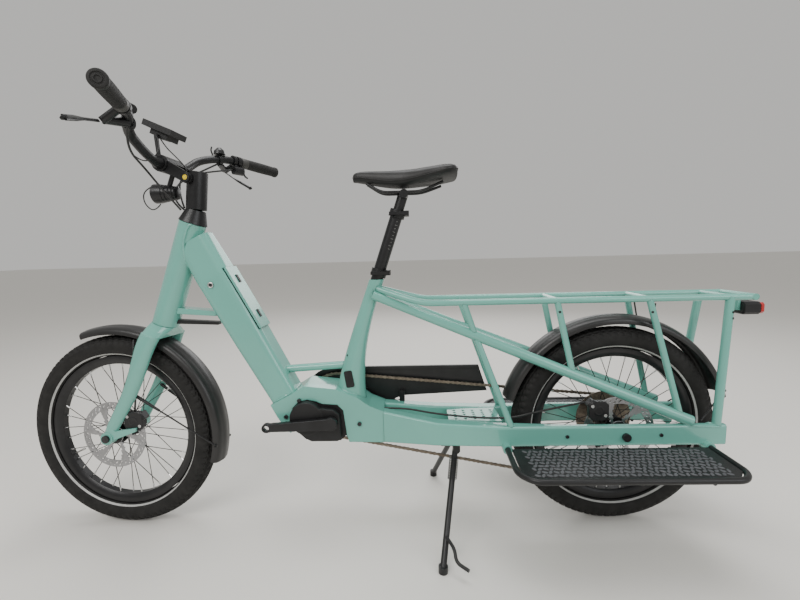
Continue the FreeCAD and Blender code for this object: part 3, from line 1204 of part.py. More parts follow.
# Hoses and cables from the controls to the front of the headset cone.
HOSE_END = V(-495, 0, 850)
hose_routes = [
    [to_side(LEVER_PIVOT + V(14, -53, 12), LEFT), V(-520, -160, 975), V(-541, -70, 944), V(-534, -38, 912),
     HOSE_END + V(-4, -10, 4)],
    [to_side(LEVER_PIVOT + V(14, -53, 12), RIGHT), V(-530, 128, 978), V(-566, 80, 940), V(-546, 30, 884),
     HOSE_END + V(-4, 10, 4)],
    [SHIFTER + V(-10, -17, 0), V(-500, 150, 985), V(-546, 70, 958), V(-534, 40, 905), HOSE_END + V(-3, 3.2, 12)],
]
group("control_hoses", [bent_tube(r, "Dims.hose_od / 2", name="hose") for r in hose_routes], STEERED)

# ================================================================ CHECKS AND EXPORT
doc.recompute()
failed = [(o.Name, o.Label) for o in doc.Objects if "Invalid" in o.State or "Error" in o.State]
if failed:
    raise SystemExit("objects that did not compute: %s" % failed)
poor = [o.Label for o in finished if o.Shape.isNull() or not o.Shape.isValid() or not o.Shape.Solids]
if poor:
    raise SystemExit("sub-parts without a valid solid: %s" % poor)
for obj in finished:
    obj.Shape.exportStep("parts/%s.step" % obj.Label)
box = FreeCAD.BoundBox()
for obj in finished:
    box.add(obj.Shape.BoundBox)
print("%d sub-parts, smallest bend radius %.1f mm" % (len(finished), min(bend_radii)))
print("box X %.1f %.1f  Y %.1f %.1f  Z %.1f %.1f" % (box.XMin, box.XMax, box.YMin, box.YMax,
                                                   box.ZMin, box.ZMax))
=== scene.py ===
"""Cargo bicycle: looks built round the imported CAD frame. Metres, +Z up, -X forward, -Y the rider's left."""
import json
import math

import bmesh
import bpy
import numpy as np
from mathutils import Matrix, Vector, noise
from mathutils.bvhtree import BVHTree


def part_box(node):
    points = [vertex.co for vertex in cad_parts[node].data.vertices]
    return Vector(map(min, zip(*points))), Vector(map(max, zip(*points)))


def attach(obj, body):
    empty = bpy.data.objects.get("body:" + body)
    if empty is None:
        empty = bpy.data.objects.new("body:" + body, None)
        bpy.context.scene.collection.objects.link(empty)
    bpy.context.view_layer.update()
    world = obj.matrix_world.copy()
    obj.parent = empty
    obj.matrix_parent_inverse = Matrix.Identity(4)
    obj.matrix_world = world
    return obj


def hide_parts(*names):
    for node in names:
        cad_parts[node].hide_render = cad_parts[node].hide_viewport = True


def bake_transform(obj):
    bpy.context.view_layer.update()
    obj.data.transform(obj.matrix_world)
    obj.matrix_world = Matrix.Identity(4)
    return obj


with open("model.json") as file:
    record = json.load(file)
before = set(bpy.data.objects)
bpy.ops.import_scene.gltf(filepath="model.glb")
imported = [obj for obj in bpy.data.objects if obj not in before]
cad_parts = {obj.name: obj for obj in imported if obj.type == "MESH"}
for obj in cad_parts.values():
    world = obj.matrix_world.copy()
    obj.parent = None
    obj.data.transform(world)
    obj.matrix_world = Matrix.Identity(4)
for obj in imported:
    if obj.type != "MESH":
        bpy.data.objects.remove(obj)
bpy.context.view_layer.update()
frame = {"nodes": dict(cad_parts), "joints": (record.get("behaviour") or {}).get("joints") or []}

MM = 0.001
TAU = 2 * math.pi
RIGHTWARD = Vector((0, 1, 0))
nodes = frame["nodes"]
joints = {j["name"]: j for j in frame["joints"]}
scene = bpy.context.scene


def joint_place(name):
    """A joint's point."""
    return Vector(joints[name]["pos_m"])


def joint_axis(name):
    """A joint's axis."""
    return Vector(joints[name]["axis"]).normalized()


REAR_AXLE = joint_place("rear_wheel_spin")
FRONT_AXLE = joint_place("front_wheel_spin")
CRANK = joint_place("crank_turn")
STEER_BASE, STEER_UP = joint_place("steering_turn"), joint_axis("steering_turn")
STEM_PIVOT, STEM_AXIS = joint_place("stem_tilt"), joint_axis("stem_tilt")
REST_STEER = math.radians(-4.5)
STEER_TURN = Matrix.Rotation(REST_STEER, 3, STEER_UP)


def steered(point):
    """The rest place of a point of the steering that is given straight ahead, in millimetres."""
    return STEER_BASE + STEER_TURN @ (Vector(point) * MM - STEER_BASE)


# ------------------------------------------------------------------ camera, floor, light
CAMERA_PLACE = Vector((0.0903, -1.0574, 0.7359))
CAMERA_YAW, CAMERA_PITCH, CAMERA_ROLL = 0.0298, -0.1203, 0.0247
LENS_MM, SENSOR_MM = 18.255, 36.0
FLOOR_HALF = 30.0


def make_camera():
    """The camera stands where the photograph was taken."""
    data = bpy.data.cameras.new("camera")
    data.lens, data.sensor_width = LENS_MM, SENSOR_MM
    data.clip_start = 0.02
    camera = bpy.data.objects.new("camera", data)
    turn = (Matrix.Rotation(CAMERA_YAW, 3, "Z") @ Matrix.Rotation(CAMERA_PITCH, 3, "X")
            @ Matrix.Rotation(CAMERA_ROLL, 3, "Y"))
    right, ahead, up = turn.col[0], turn.col[1], turn.col[2]
    axes = Matrix((right, up, -ahead)).transposed()
    camera.matrix_world = Matrix.Translation(CAMERA_PLACE) @ axes.to_4x4()
    scene.collection.objects.link(camera)
    scene.camera = camera


def area_light(name, place, target, size, power, tint=(1, 1, 1)):
    """A soft rectangular lamp that looks at a point."""
    data = bpy.data.lights.new(name, "AREA")
    data.shape, data.size, data.size_y = "RECTANGLE", size[0], size[1]
    data.energy, data.color = power, tint
    lamp = bpy.data.objects.new(name, data)
    lamp.location = place
    lamp.rotation_euler = (Vector(target) - Vector(place)).to_track_quat("-Z", "Y").to_euler()
    scene.collection.objects.link(lamp)


def make_stage():
    """A pale floor, a pale world and soft lamps."""
    half = FLOOR_HALF
    mesh = bpy.data.meshes.new("floor")
    mesh.from_pydata([(-half, -half, 0), (half, -half, 0), (half, half, 0), (-half, half, 0)], [],
                     [(0, 1, 2, 3)])
    floor = bpy.data.objects.new("floor", mesh)
    scene.collection.objects.link(floor)
    material = bpy.data.materials.new("floor_paint")
    material.use_nodes = True
    shader = material.node_tree.nodes["Principled BSDF"]
    shader.inputs["Base Color"].default_value = (0.74, 0.72, 0.68, 1)
    shader.inputs["Roughness"].default_value = 0.75
    mesh.materials.append(material)
    world = bpy.data.worlds.new("studio")
    world.use_nodes = True
    background = world.node_tree.nodes["Background"]
    background.inputs["Color"].default_value = (0.93, 0.92, 0.89, 1)
    background.inputs["Strength"].default_value = 0.62
    scene.world = world
    area_light("key", (-1.4, -2.6, 2.9), (0, 0, 0.4), (2.4, 1.4), 75, (1, 0.985, 0.96))
    area_light("fill", (2.6, -2.2, 1.9), (0.2, 0, 0.4), (2.0, 1.6), 30, (0.95, 0.98, 1))
    area_light("top", (0.2, 0.3, 3.4), (0, 0, 0), (3.2, 1.2), 60)
    area_light("back", (0.6, 3.0, 2.0), (0, 0, 0.5), (3.0, 1.4), 35)


make_camera()
make_stage()


# ------------------------------------------------------------------ materials
def surface(name, color, roughness, metallic=0.0, vary=0.06, vary_scale=9.0, grain=0.0, grain_scale=900.0,
            ripple=0.0, ripple_scale=60.0, rough_vary=0.08, coat=0.0, sheen=0.0, specular=0.5, round_mm=0.8):
    """A finish with colour variation, uneven gloss and one or two scales of bump, in object space."""
    material = bpy.data.materials.new(name)
    material.use_nodes = True
    tree = material.node_tree
    shader = tree.nodes["Principled BSDF"]
    shader.inputs["Metallic"].default_value = metallic
    shader.inputs["Coat Weight"].default_value = coat
    shader.inputs["Coat Roughness"].default_value = 0.06
    shader.inputs["Sheen Weight"].default_value = sheen
    shader.inputs["Specular IOR Level"].default_value = specular
    place = tree.nodes.new("ShaderNodeTexCoord").outputs["Object"]

    def cloud(scale, detail):
        """A noise texture's value."""
        texture = tree.nodes.new("ShaderNodeTexNoise")
        texture.inputs["Scale"].default_value = scale
        texture.inputs["Detail"].default_value = detail
        tree.links.new(place, texture.inputs["Vector"])
        return texture.outputs["Fac"]

    ramp = tree.nodes.new("ShaderNodeValToRGB")
    dark = [max(0.0, c * (1 - vary)) for c in color]
    light = [min(1.0, c * (1 + vary) + 0.002) for c in color]
    ramp.color_ramp.elements[0].position, ramp.color_ramp.elements[1].position = 0.3, 0.7
    ramp.color_ramp.elements[0].color = dark + [1]
    ramp.color_ramp.elements[1].color = light + [1]
    tree.links.new(cloud(vary_scale, 5), ramp.inputs["Fac"])
    tree.links.new(ramp.outputs["Color"], shader.inputs["Base Color"])
    span = tree.nodes.new("ShaderNodeMapRange")
    span.inputs["To Min"].default_value = max(0.02, roughness - rough_vary)
    span.inputs["To Max"].default_value = min(1.0, roughness + rough_vary)
    tree.links.new(cloud(vary_scale * 5, 4), span.inputs["Value"])
    tree.links.new(span.outputs["Result"], shader.inputs["Roughness"])
    edge = tree.nodes.new("ShaderNodeBevel")
    edge.samples = 4
    edge.inputs["Radius"].default_value = round_mm * MM
    normal = edge.outputs["Normal"]
    for strength, scale, distance in ((ripple, ripple_scale, 0.001), (grain, grain_scale, 0.0004)):
        if strength:
            bump = tree.nodes.new("ShaderNodeBump")
            bump.inputs["Strength"].default_value = strength
            bump.inputs["Distance"].default_value = distance
            tree.links.new(cloud(scale, 3), bump.inputs["Height"])
            tree.links.new(normal, bump.inputs["Normal"])
            normal = bump.outputs["Normal"]
    tree.links.new(normal, shader.inputs["Normal"])
    return material


MINT = (0.135, 0.405, 0.335)
paint = surface("mint_paint", MINT, 0.24, vary=0.05, vary_scale=4, ripple=0.06, ripple_scale=140,
                rough_vary=0.05, coat=0.6, round_mm=3.0)
bead_paint = surface("mint_weld", (0.15, 0.42, 0.35), 0.28, vary=0.08, vary_scale=60, grain=0.2,
                     grain_scale=600, coat=0.7)
black_coat = surface("black_powder_coat", (0.009, 0.009, 0.0095), 0.38, vary=0.3, vary_scale=25, grain=0.25,
                     grain_scale=1500, specular=0.4, round_mm=1.5)
black_alloy = surface("black_anodised", (0.012, 0.012, 0.013), 0.33, metallic=0.3, vary=0.25, vary_scale=30,
                      grain=0.12, grain_scale=2200)
black_plastic = surface("moulded_black", (0.010, 0.010, 0.0105), 0.48, specular=0.35, vary=0.25, vary_scale=30,
                        grain=0.45, grain_scale=1300)
fender_plastic = surface("fender_black", (0.013, 0.0125, 0.0125), 0.36, vary=0.3, vary_scale=12, grain=0.15,
                         grain_scale=1200, ripple=0.1, ripple_scale=30)
tyre_rubber = surface("tyre_rubber", (0.012, 0.0115, 0.011), 0.68, specular=0.3, vary=0.3, vary_scale=40, grain=0.5,
                      grain_scale=900)
stripe_grey = surface("reflective_band", (0.42, 0.42, 0.41), 0.4, vary=0.12, vary_scale=120, grain=0.3,
                      grain_scale=2600)
grip_rubber = surface("grip_rubber", (0.012, 0.0115, 0.011), 0.6, specular=0.35, vary=0.25, vary_scale=50, grain=0.5,
                      grain_scale=1600)
grip_collar = surface("grip_collar", (0.04, 0.038, 0.035), 0.5, vary=0.15, vary_scale=60, grain=0.2)
leather = surface("saddle_cover", (0.011, 0.0105, 0.0105), 0.42, vary=0.35, vary_scale=35, grain=0.7,
                  grain_scale=700, ripple=0.15, ripple_scale=90, sheen=0.03, specular=0.4)
steel = surface("turned_steel", (0.56, 0.56, 0.55), 0.3, metallic=1.0, vary=0.1, vary_scale=50, grain=0.15,
                grain_scale=1800)
rotor_steel = surface("rotor_steel", (0.34, 0.34, 0.35), 0.36, metallic=1.0, vary=0.12, vary_scale=70, grain=0.3,
                      grain_scale=1200)
chain_steel = surface("chain_steel", (0.20, 0.165, 0.13), 0.38, metallic=0.9, vary=0.3, vary_scale=120,
                      grain=0.2)
nipple_alloy = surface("nipple_alloy", (0.7, 0.7, 0.7), 0.28, metallic=1.0, vary=0.08, vary_scale=80)
spoke_black = surface("spoke_black", (0.015, 0.015, 0.015), 0.35, metallic=0.4, vary=0.2, vary_scale=60)
hose_black = surface("hose_black", (0.010, 0.010, 0.010), 0.42, vary=0.2, vary_scale=80, grain=0.1)
bolt_black = surface("bolt_black", (0.05, 0.05, 0.052), 0.35, metallic=0.8, vary=0.2, vary_scale=90)
yellow_cap = surface("yellow_cap", (0.85, 0.62, 0.02), 0.4, vary=0.06, vary_scale=90, grain=0.1)
screen_glass = surface("screen_glass", (0.012, 0.013, 0.015), 0.08, vary=0.2, vary_scale=20, coat=0.6,
                       rough_vary=0.03)
clear_lens = surface("clear_lens", (0.78, 0.8, 0.82), 0.12, vary=0.06, vary_scale=90, ripple=0.2,
                     ripple_scale=250, coat=0.6)
red_lens = surface("red_lens", (0.42, 0.012, 0.012), 0.16, vary=0.15, vary_scale=60, ripple=0.2,
                   ripple_scale=300, coat=0.8)
cell_case = surface("battery_case", (0.03, 0.03, 0.033), 0.45, vary=0.2, vary_scale=30, grain=0.2)
pad_rubber = surface("pad_rubber", (0.075, 0.077, 0.084), 0.62, vary=0.2, vary_scale=60, grain=0.4)
mark_white = surface("mark_white", (0.28, 0.28, 0.27), 0.5, vary=0.1, vary_scale=90)

CAD_FINISH = {
    paint: ("head_tube down_tube battery_cover motor_shell seat_tube brace_tubes chain_stays upper_stays "
            "rack_rails rack_posts fork"),
    black_coat: "board_tubes frame_fittings kickstand_bracket kickstand chainguard",
    black_alloy: ("outer_post inner_post lower_seat_lever upper_seat_lever crank_arms stem_mast stem_arm "
                  "handlebar control_clamps left_brake_blade right_brake_blade front_caliper rear_caliper "
                  "shift_paddle derailleur chainring bell bell_striker front_hub rear_hub"),
    black_plastic: "motor_covers motor_unit board_decks display headlight rear_light",
    steel: "headset_bearings",
    chain_steel: "cassette chain",
    cell_case: "battery",
    bolt_black: "rear_axle front_axle",
    hose_black: "control_hoses rear_brake_hose",
    fender_plastic: "front_fender rear_fender",
    tyre_rubber: "front_tyre rear_tyre",
    spoke_black: "front_spokes rear_spokes front_rim rear_rim",
    grip_rubber: "grips",
    leather: "saddle",
}
SMOOTH_ANGLE = math.radians(34)
DOWN_FOOT = Vector((-0.254, 0, 0.360))
DOWN_UP = Vector((-0.2184, 0, 0.415)).normalized()
DOWN_OUT = Vector((DOWN_UP.z, 0, -DOWN_UP.x))
# Along the down tube, half a latch's length, and how far out of the tube's middle a latch starts.
LATCH_PLACES, LATCH_HALF, LATCH_OUT = (0.215, 0.320), 0.016, 0.0468
SCREEN_LEAN, SCREEN_LEAST_AREA = math.radians(24), 5e-5
for finish, names in CAD_FINISH.items():
    for node in names.split():
        for place in nodes[node].material_slots:
            place.material = finish


def recolour(node, finish, chosen):
    """Gives one more finish to the faces whose centre passes a test."""
    mesh = nodes[node].data
    mesh.materials.append(finish)
    number = len(mesh.materials) - 1
    for polygon in mesh.polygons:
        if chosen(polygon.center):
            polygon.material_index = number


def is_latch(point):
    """On one of the two latches of the battery's cover."""
    reach = point - DOWN_FOOT
    up, out = reach.dot(DOWN_UP), reach.dot(DOWN_OUT)
    return out > LATCH_OUT and min(abs(up - place) for place in LATCH_PLACES) < LATCH_HALF


def glaze_screen():
    """The display's upper face is dark glass."""
    mesh = nodes["display"].data
    mesh.materials.append(screen_glass)
    up = STEER_TURN @ Vector((math.sin(SCREEN_LEAN), 0, math.cos(SCREEN_LEAN)))
    for polygon in mesh.polygons:
        if polygon.normal.dot(up) > 0.97 and polygon.area > SCREEN_LEAST_AREA:
            polygon.material_index = len(mesh.materials) - 1


glaze_screen()
recolour("frame_fittings", paint, lambda p: p.x > 0.1 and p.z < 0.4)
recolour("battery_cover", black_plastic, is_latch)


# ------------------------------------------------------------------ mesh helpers
def piece(name, verts, faces, material, body, smooth=True, indices=None):
    """A mesh that rides on a body, if one is named. indices give each face's number in a list of materials."""
    mesh = bpy.data.meshes.new(name)
    mesh.from_pydata([tuple(v) for v in verts], [], faces)
    for each in material if isinstance(material, list) else [material]:
        mesh.materials.append(each)
    if indices:
        mesh.polygons.foreach_set("material_index", indices)
    mesh.update()
    work = bmesh.new()
    work.from_mesh(mesh)
    bmesh.ops.remove_doubles(work, verts=work.verts, dist=1e-7)
    bmesh.ops.recalc_face_normals(work, faces=work.faces)
    work.to_mesh(mesh)
    work.free()
    if smooth:
        mesh.shade_smooth()
        mesh.set_sharp_from_angle(angle=SMOOTH_ANGLE)
    obj = bpy.data.objects.new(name, mesh)
    scene.collection.objects.link(obj)
    if body:
        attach(obj, body)
    return obj


def side_axes(axis):
    """Two directions square to an axis: the first as level as it can be, and the one above it."""
    level = Vector((1, 0, 0)) if abs(axis.x) < 0.9 else RIGHTWARD
    level = (level - axis * level.dot(axis)).normalized()
    return level, axis.cross(level) * -1


def turned(level, above, angle):
    """The direction at an angle from level towards above."""
    return level * math.cos(angle) + above * math.sin(angle)


def in_mm(profile):
    """A profile that is given in millimetres."""
    return [(along * MM, radius * MM) for along, radius in profile]


class Builder:
    """Collects vertices and faces of one piece, each face with its material's number."""

    def __init__(self):
        self.verts, self.faces, self.indices = [], [], []

    def grid(self, rows, closed_rows=False, closed_cols=True, number=0):
        """Joins rows of equal length with quads."""
        base, cols = len(self.verts), len(rows[0])
        for row in rows:
            self.verts.extend(row)
        count = len(rows)
        for r in range(count if closed_rows else count - 1):
            for c in range(cols if closed_cols else cols - 1):
                a, b = base + r * cols + c, base + r * cols + (c + 1) % cols
                d, e = base + (r + 1) % count * cols + c, base + (r + 1) % count * cols + (c + 1) % cols
                self.faces.append((a, b, e, d))
                self.indices.append(number(r, c) if callable(number) else number)
        return base

    def cap(self, ring, number=0):
        """A face across a ring."""
        base = len(self.verts)
        self.verts.extend(ring)
        self.faces.append(tuple(range(base, base + len(ring))))
        self.indices.append(number)

    def loft(self, rows, number=0):
        """Joins rows with quads and closes both ends."""
        self.grid(rows, number=number)
        self.cap(rows[0], number)
        self.cap(rows[-1], number)

    def tube(self, points, radii, sides=12, number=0, flat=None):
        """A closed round tube through points; flat is an (axis, ratio) that thins it along an axis."""
        points = [Vector(p) for p in points]
        radii = [radii] * len(points) if isinstance(radii, (int, float)) else radii
        run = (points[1] - points[0]).normalized()
        level, above = side_axes(run)
        rows = []
        for i, (point, radius) in enumerate(zip(points, radii)):
            ahead = (points[min(i + 1, len(points) - 1)] - points[max(i - 1, 0)]).normalized()
            turn = run.rotation_difference(ahead)
            level, above, run = turn @ level, turn @ above, ahead
            row = []
            for k in range(sides):
                a = TAU * k / sides
                offset = level * math.cos(a) * radius + above * math.sin(a) * radius
                if flat:
                    offset -= flat[0] * offset.dot(flat[0]) * (1 - flat[1])
                row.append(point + offset)
            rows.append(row)
        self.loft(rows, number)

    def spin(self, centre, axis, profile, segments=64, number=0, start=0.0, sweep=TAU, closed_profile=False):
        """Turns a profile of (along the axis, radius) points."""
        level, above = side_axes(axis)
        whole = abs(sweep - TAU) < 1e-6
        steps = segments if whole else segments + 1
        rows = []
        for i in range(steps):
            a = start + sweep * i / segments
            spoke = turned(level, above, a)
            rows.append([centre + axis * along + spoke * radius for along, radius in profile])
        self.grid(rows, closed_rows=whole, closed_cols=closed_profile, number=number)
        if not whole and closed_profile:
            self.cap(rows[0])
            self.cap(rows[-1])

    def box(self, centre, axes, halves, number=0, round_off=0.0):
        """A block with chamfered upright edges, square to three axes."""
        x, y, z = axes
        hx, hy, hz = halves
        c = min(round_off, hx * 0.45, hy * 0.45) or min(hx, hy) * 0.12
        outline = [(hx - c, -hy), (hx, -hy + c), (hx, hy - c), (hx - c, hy),
                   (-hx + c, hy), (-hx, hy - c), (-hx, -hy + c), (-hx + c, -hy)]
        rim = min(c, hz * 0.3) * 0.5
        rows = []
        for height, shrink in ((-hz, rim), (-hz + rim, 0), (hz - rim, 0), (hz, rim)):
            rows.append([centre + x * (px - math.copysign(shrink, px)) + y * (py - math.copysign(shrink, py))
                         + z * height for px, py in outline])
        self.loft(rows, number)

    def bolt(self, centre, axis, radius=3 * MM, height=2.6 * MM, number=0):
        """A socket-head bolt: a rounded head with a hexagonal recess."""
        level, above = side_axes(axis)
        rings = [(0, radius), (height * 0.75, radius), (height, radius * 0.86)]
        rows = [[centre + axis * h + turned(level, above, TAU * k / 24) * r
                 for k in range(24)] for h, r in rings]

        def hexagon(r, h):
            points = []
            for k in range(24):
                a = TAU * k / 24
                side = a % (TAU / 6) - TAU / 12
                reach = r * math.cos(TAU / 12) / math.cos(side)
                points.append(centre + axis * h + turned(level, above, a) * reach)
            return points

        rows.append(hexagon(radius * 0.55, height))
        rows.append(hexagon(radius * 0.55, height * 0.3))
        self.loft(rows, number)

    def done(self, name, material, body, slot=None, smooth=True):
        """Makes the piece."""
        return piece(name, self.verts, self.faces, material, body, smooth, self.indices)


def smooth_line(points, steps=10):
    """Points along a NURBS line of order 3 whose control points are given."""
    curve = bpy.data.curves.new("route", "CURVE")
    curve.dimensions = "3D"
    spline = curve.splines.new("NURBS")
    spline.points.add(len(points) - 1)
    for control, point in zip(spline.points, points):
        control.co = (*point, 1)
    spline.order_u = 3
    spline.use_endpoint_u = True
    spline.resolution_u = steps
    obj = bpy.data.objects.new("route", curve)
    mesh = bpy.data.meshes.new_from_object(obj)
    line = [v.co.copy() for v in mesh.vertices]
    bpy.data.objects.remove(obj)
    bpy.data.meshes.remove(mesh)
    bpy.data.curves.remove(curve)
    return line


def steered_line(route):
    """A smooth line on the steering, given straight ahead in millimetres."""
    return smooth_line([steered(p) for p in route], 12)


def tree_of(*names):
    """A search tree over CAD nodes' surfaces."""
    work = bmesh.new()
    for name in names:
        work.from_mesh(nodes[name].data)
    tree = BVHTree.FromBMesh(work)
    work.free()
    return tree


def moulded(node, name, voxel, passes, material, body):
    """A cast or moulded form: the node's solids run together with rounded edges and blended joins."""
    source = nodes[node]
    mesh = source.data.copy()
    obj = bpy.data.objects.new(name, mesh)
    scene.collection.objects.link(obj)
    remesh = obj.modifiers.new("blend", "REMESH")
    remesh.mode, remesh.voxel_size, remesh.use_smooth_shade = "VOXEL", voxel, True
    relax = obj.modifiers.new("relax", "SMOOTH")
    relax.iterations, relax.factor = passes, 0.5
    bpy.context.view_layer.update()
    graph = bpy.context.evaluated_depsgraph_get()
    result = bpy.data.meshes.new_from_object(obj.evaluated_get(graph))
    obj.modifiers.clear()
    obj.data = result
    bpy.data.meshes.remove(mesh)
    result.materials.clear()
    result.materials.append(material)
    for polygon in result.polygons:
        polygon.material_index = 0
    result.shade_smooth()
    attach(obj, body)
    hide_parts(node)


# ------------------------------------------------------------------ wheels
SECTION, TYRE_MIDDLE = 29.9 * MM, 234 * MM
# Angles across a tyre's section, in degrees from the crown.
BEAD_END, TREAD_EDGE = 148, 74
STRIPE, RIB_BAND = (127.0, 137.0), (119, 144)
TREAD_GROOVES = ((13, 2.4), (38, 2.2))
TREAD_DEPTH, RIB_HEIGHT, TYRE_WALL = 2.6 * MM, 0.3 * MM, 3.2 * MM
BLOCKS, BLOCK_GAP, SHOULDER = 88, 0.26, 0.62
RIM_PROFILE = [(-15, 208), (-12.5, 208), (-12.5, 201), (-6, 196), (6, 196), (12.5, 201), (12.5, 208), (15, 208),
               (15.4, 204), (15, 197), (12, 190), (8, 185.4), (-8, 185.4), (-12, 190), (-15, 197), (-15.4, 204)]


def tread_depth(theta, turn):
    """How far the tread is cut below the crown, at an angle across the section and round the wheel."""
    across = abs(theta) / TREAD_EDGE
    if across > 1:
        return TREAD_DEPTH * 0.55
    if any(abs(abs(theta) - middle) < half for middle, half in TREAD_GROOVES):
        return TREAD_DEPTH
    slant = turn * BLOCKS + (0.9 * across if theta > 0 else 0.9 * across + 0.5)
    if across > SHOULDER:
        slant = turn * BLOCKS + 0.35 * across + (0.25 if theta > 0 else 0.75)
    return TREAD_DEPTH if slant % 1.0 < BLOCK_GAP else 0.0


def make_tyre(name, centre, axis, body, node):
    """A tyre with a cut tread, a reflective band on each wall and moulded ribs by the bead."""
    walls = [BEAD_END, 144, 141, 137, 127, 123, 119, 112, 104, 96, 88, 80, 73, 68]
    thetas = walls + list(range(64, -65, -4)) + [-t for t in reversed(walls)]
    segments = BLOCKS * 4
    level, above = side_axes(axis)
    rows = []
    for i in range(segments):
        turn = i / segments
        spoke = turned(level, above, TAU * turn)
        row = []
        for theta in thetas:
            size = SECTION - tread_depth(theta, turn)
            if RIB_BAND[0] <= abs(theta) <= RIB_BAND[1] and not STRIPE[0] <= abs(theta) <= STRIPE[1]:
                size += RIB_HEIGHT
            a = math.radians(theta)
            row.append(centre + axis * size * math.sin(a) + spoke * (TYRE_MIDDLE + size * math.cos(a)))
        for theta in range(-BEAD_END, BEAD_END + 1, 37):
            a = math.radians(theta)
            size = SECTION - TYRE_WALL
            row.append(centre + axis * size * math.sin(a) + spoke * (TYRE_MIDDLE + size * math.cos(a)))
        rows.append(row)

    def material_number(_, c):
        if c + 1 >= len(thetas):
            return 0
        return 1 if {abs(thetas[c]), abs(thetas[c + 1])} == set(STRIPE) else 0

    build = Builder()
    build.grid(rows, closed_rows=True, number=material_number)
    tyre = build.done(name, [tyre_rubber, stripe_grey], body, "tyre")
    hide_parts(node)


SPOKES_PER_SIDE, FLANGE_RADIUS, FLANGE_SIDE, SPOKE_LEAD = 18, 26 * MM, 30 * MM, 60.0
BED_RADIUS = 184.9 * MM


def make_spokes(name, centre, axis, body, node):
    """Crossed black spokes with bright nipples at the rim."""
    level, above = side_axes(axis)
    wires, nipples = Builder(), Builder()
    for side in (-1, 1):
        for number in range(SPOKES_PER_SIDE):
            at_hub = number * 360.0 / SPOKES_PER_SIDE + (0 if side < 0 else 10)
            lead = 1 if number % 2 == 0 else -1
            hub_angle, rim_angle = math.radians(at_hub), math.radians(at_hub + lead * SPOKE_LEAD)
            start = (centre + axis * side * (FLANGE_SIDE + 1.5 * MM * lead)
                     + turned(level, above, hub_angle) * FLANGE_RADIUS)
            end = (centre + axis * side * 4 * MM
                   + turned(level, above, rim_angle) * BED_RADIUS)
            run = (end - start).normalized()
            wires.tube([start, end], 1.0 * MM, sides=8)
            wires.tube([start - axis * side * 2.2 * MM, start + axis * side * 2.2 * MM], 1.6 * MM, sides=8)
            nipples.tube([end - run * 12 * MM, end - run * 10 * MM, end - run * 2 * MM, end + run * 0.5 * MM],
                         [1.5 * MM, 1.9 * MM, 1.9 * MM, 2.4 * MM], sides=8)
    spokes = wires.done(name, spoke_black, body, "spoke_steel")
    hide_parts(node)
    nipples.done(name + "_nipples", nipple_alloy, body, "raw_steel")


ROTOR_RADII = [16.5, 19, 22, 25, 34, 46, 58, 66, 71.5, 74, 76.5, 79, 81.5, 84, 86.5, 89.8]
ROTOR_CELLS, ROTOR_ARMS, ROTOR_HOLES = 288, 6, 36


def rotor_filled(cell, ring):
    """Whether a rotor has metal in a cell: a slotted brake ring on swept arms round a carrier."""
    radius = (ROTOR_RADII[ring] + ROTOR_RADII[ring + 1]) / 2
    if radius < 25:
        return True
    if radius < 71.5:
        turn = cell / ROTOR_CELLS * ROTOR_ARMS + 0.35 * (radius - 25) / 46
        return turn % 1.0 < 0.20 + 0.10 * abs(radius - 46) / 24
    lean = cell / ROTOR_CELLS * ROTOR_HOLES + (radius - 71.5) * 0.055
    return not (74 < radius < 86.5 and lean % 1.0 < 0.36 and (ring + cell // 8) % 3 < 2)


def add_rotor(build, centre, axis, low, high, number):
    """A thin disc cut from a grid of cells, between two places along the axis."""
    level, above = side_axes(axis)

    def corner(cell, ring, height):
        a = TAU * cell / ROTOR_CELLS
        spoke = turned(level, above, a)
        return centre + axis * height + spoke * ROTOR_RADII[ring] * MM

    rings = len(ROTOR_RADII) - 1
    base = len(build.verts)
    for height in (low, high):
        for cell in range(ROTOR_CELLS):
            build.verts.extend(corner(cell, ring, height) for ring in range(rings + 1))

    def at(cell, ring, top):
        return base + (top * ROTOR_CELLS + cell % ROTOR_CELLS) * (rings + 1) + ring

    def filled(cell, ring):
        return 0 <= ring < rings and rotor_filled(cell % ROTOR_CELLS, ring)

    for cell in range(ROTOR_CELLS):
        for ring in range(rings):
            if not filled(cell, ring):
                continue
            faces = [(at(cell, ring, 0), at(cell, ring + 1, 0), at(cell + 1, ring + 1, 0), at(cell + 1, ring, 0)),
                     (at(cell, ring, 1), at(cell + 1, ring, 1), at(cell + 1, ring + 1, 1), at(cell, ring + 1, 1))]
            edges = []
            if not filled(cell - 1, ring):
                edges.append(((cell, ring), (cell, ring + 1)))
            if not filled(cell + 1, ring):
                edges.append(((cell + 1, ring), (cell + 1, ring + 1)))
            if not filled(cell, ring - 1):
                edges.append(((cell, ring), (cell + 1, ring)))
            if not filled(cell, ring + 1):
                edges.append(((cell, ring + 1), (cell + 1, ring + 1)))
            for a, b in edges:
                faces.append((at(*a, 0), at(*b, 0), at(*b, 1), at(*a, 1)))
            build.faces.extend(faces)
            build.indices.extend([number] * len(faces))


def make_hub(side, centre, axis, body, profile, rotor_low):
    """A turned hub shell with its flanges, and the brake rotor bolted to it."""
    build = Builder()
    build.spin(centre, axis, in_mm(profile), segments=72, closed_profile=True)
    add_rotor(build, centre, axis, rotor_low * MM, (rotor_low + 2) * MM, 1)
    level, above = side_axes(axis)
    for k in range(6):
        a = TAU * k / 6 + 0.2
        spot = centre + turned(level, above, a) * 21.5 * MM + axis * (rotor_low + 0.2) * MM
        build.bolt(spot, -axis, 3.6 * MM, 1.6 * MM)
    hub = build.done(side + "_hub_and_rotor", [black_alloy, rotor_steel], body, "black_alloy")
    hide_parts(side + "_hub")


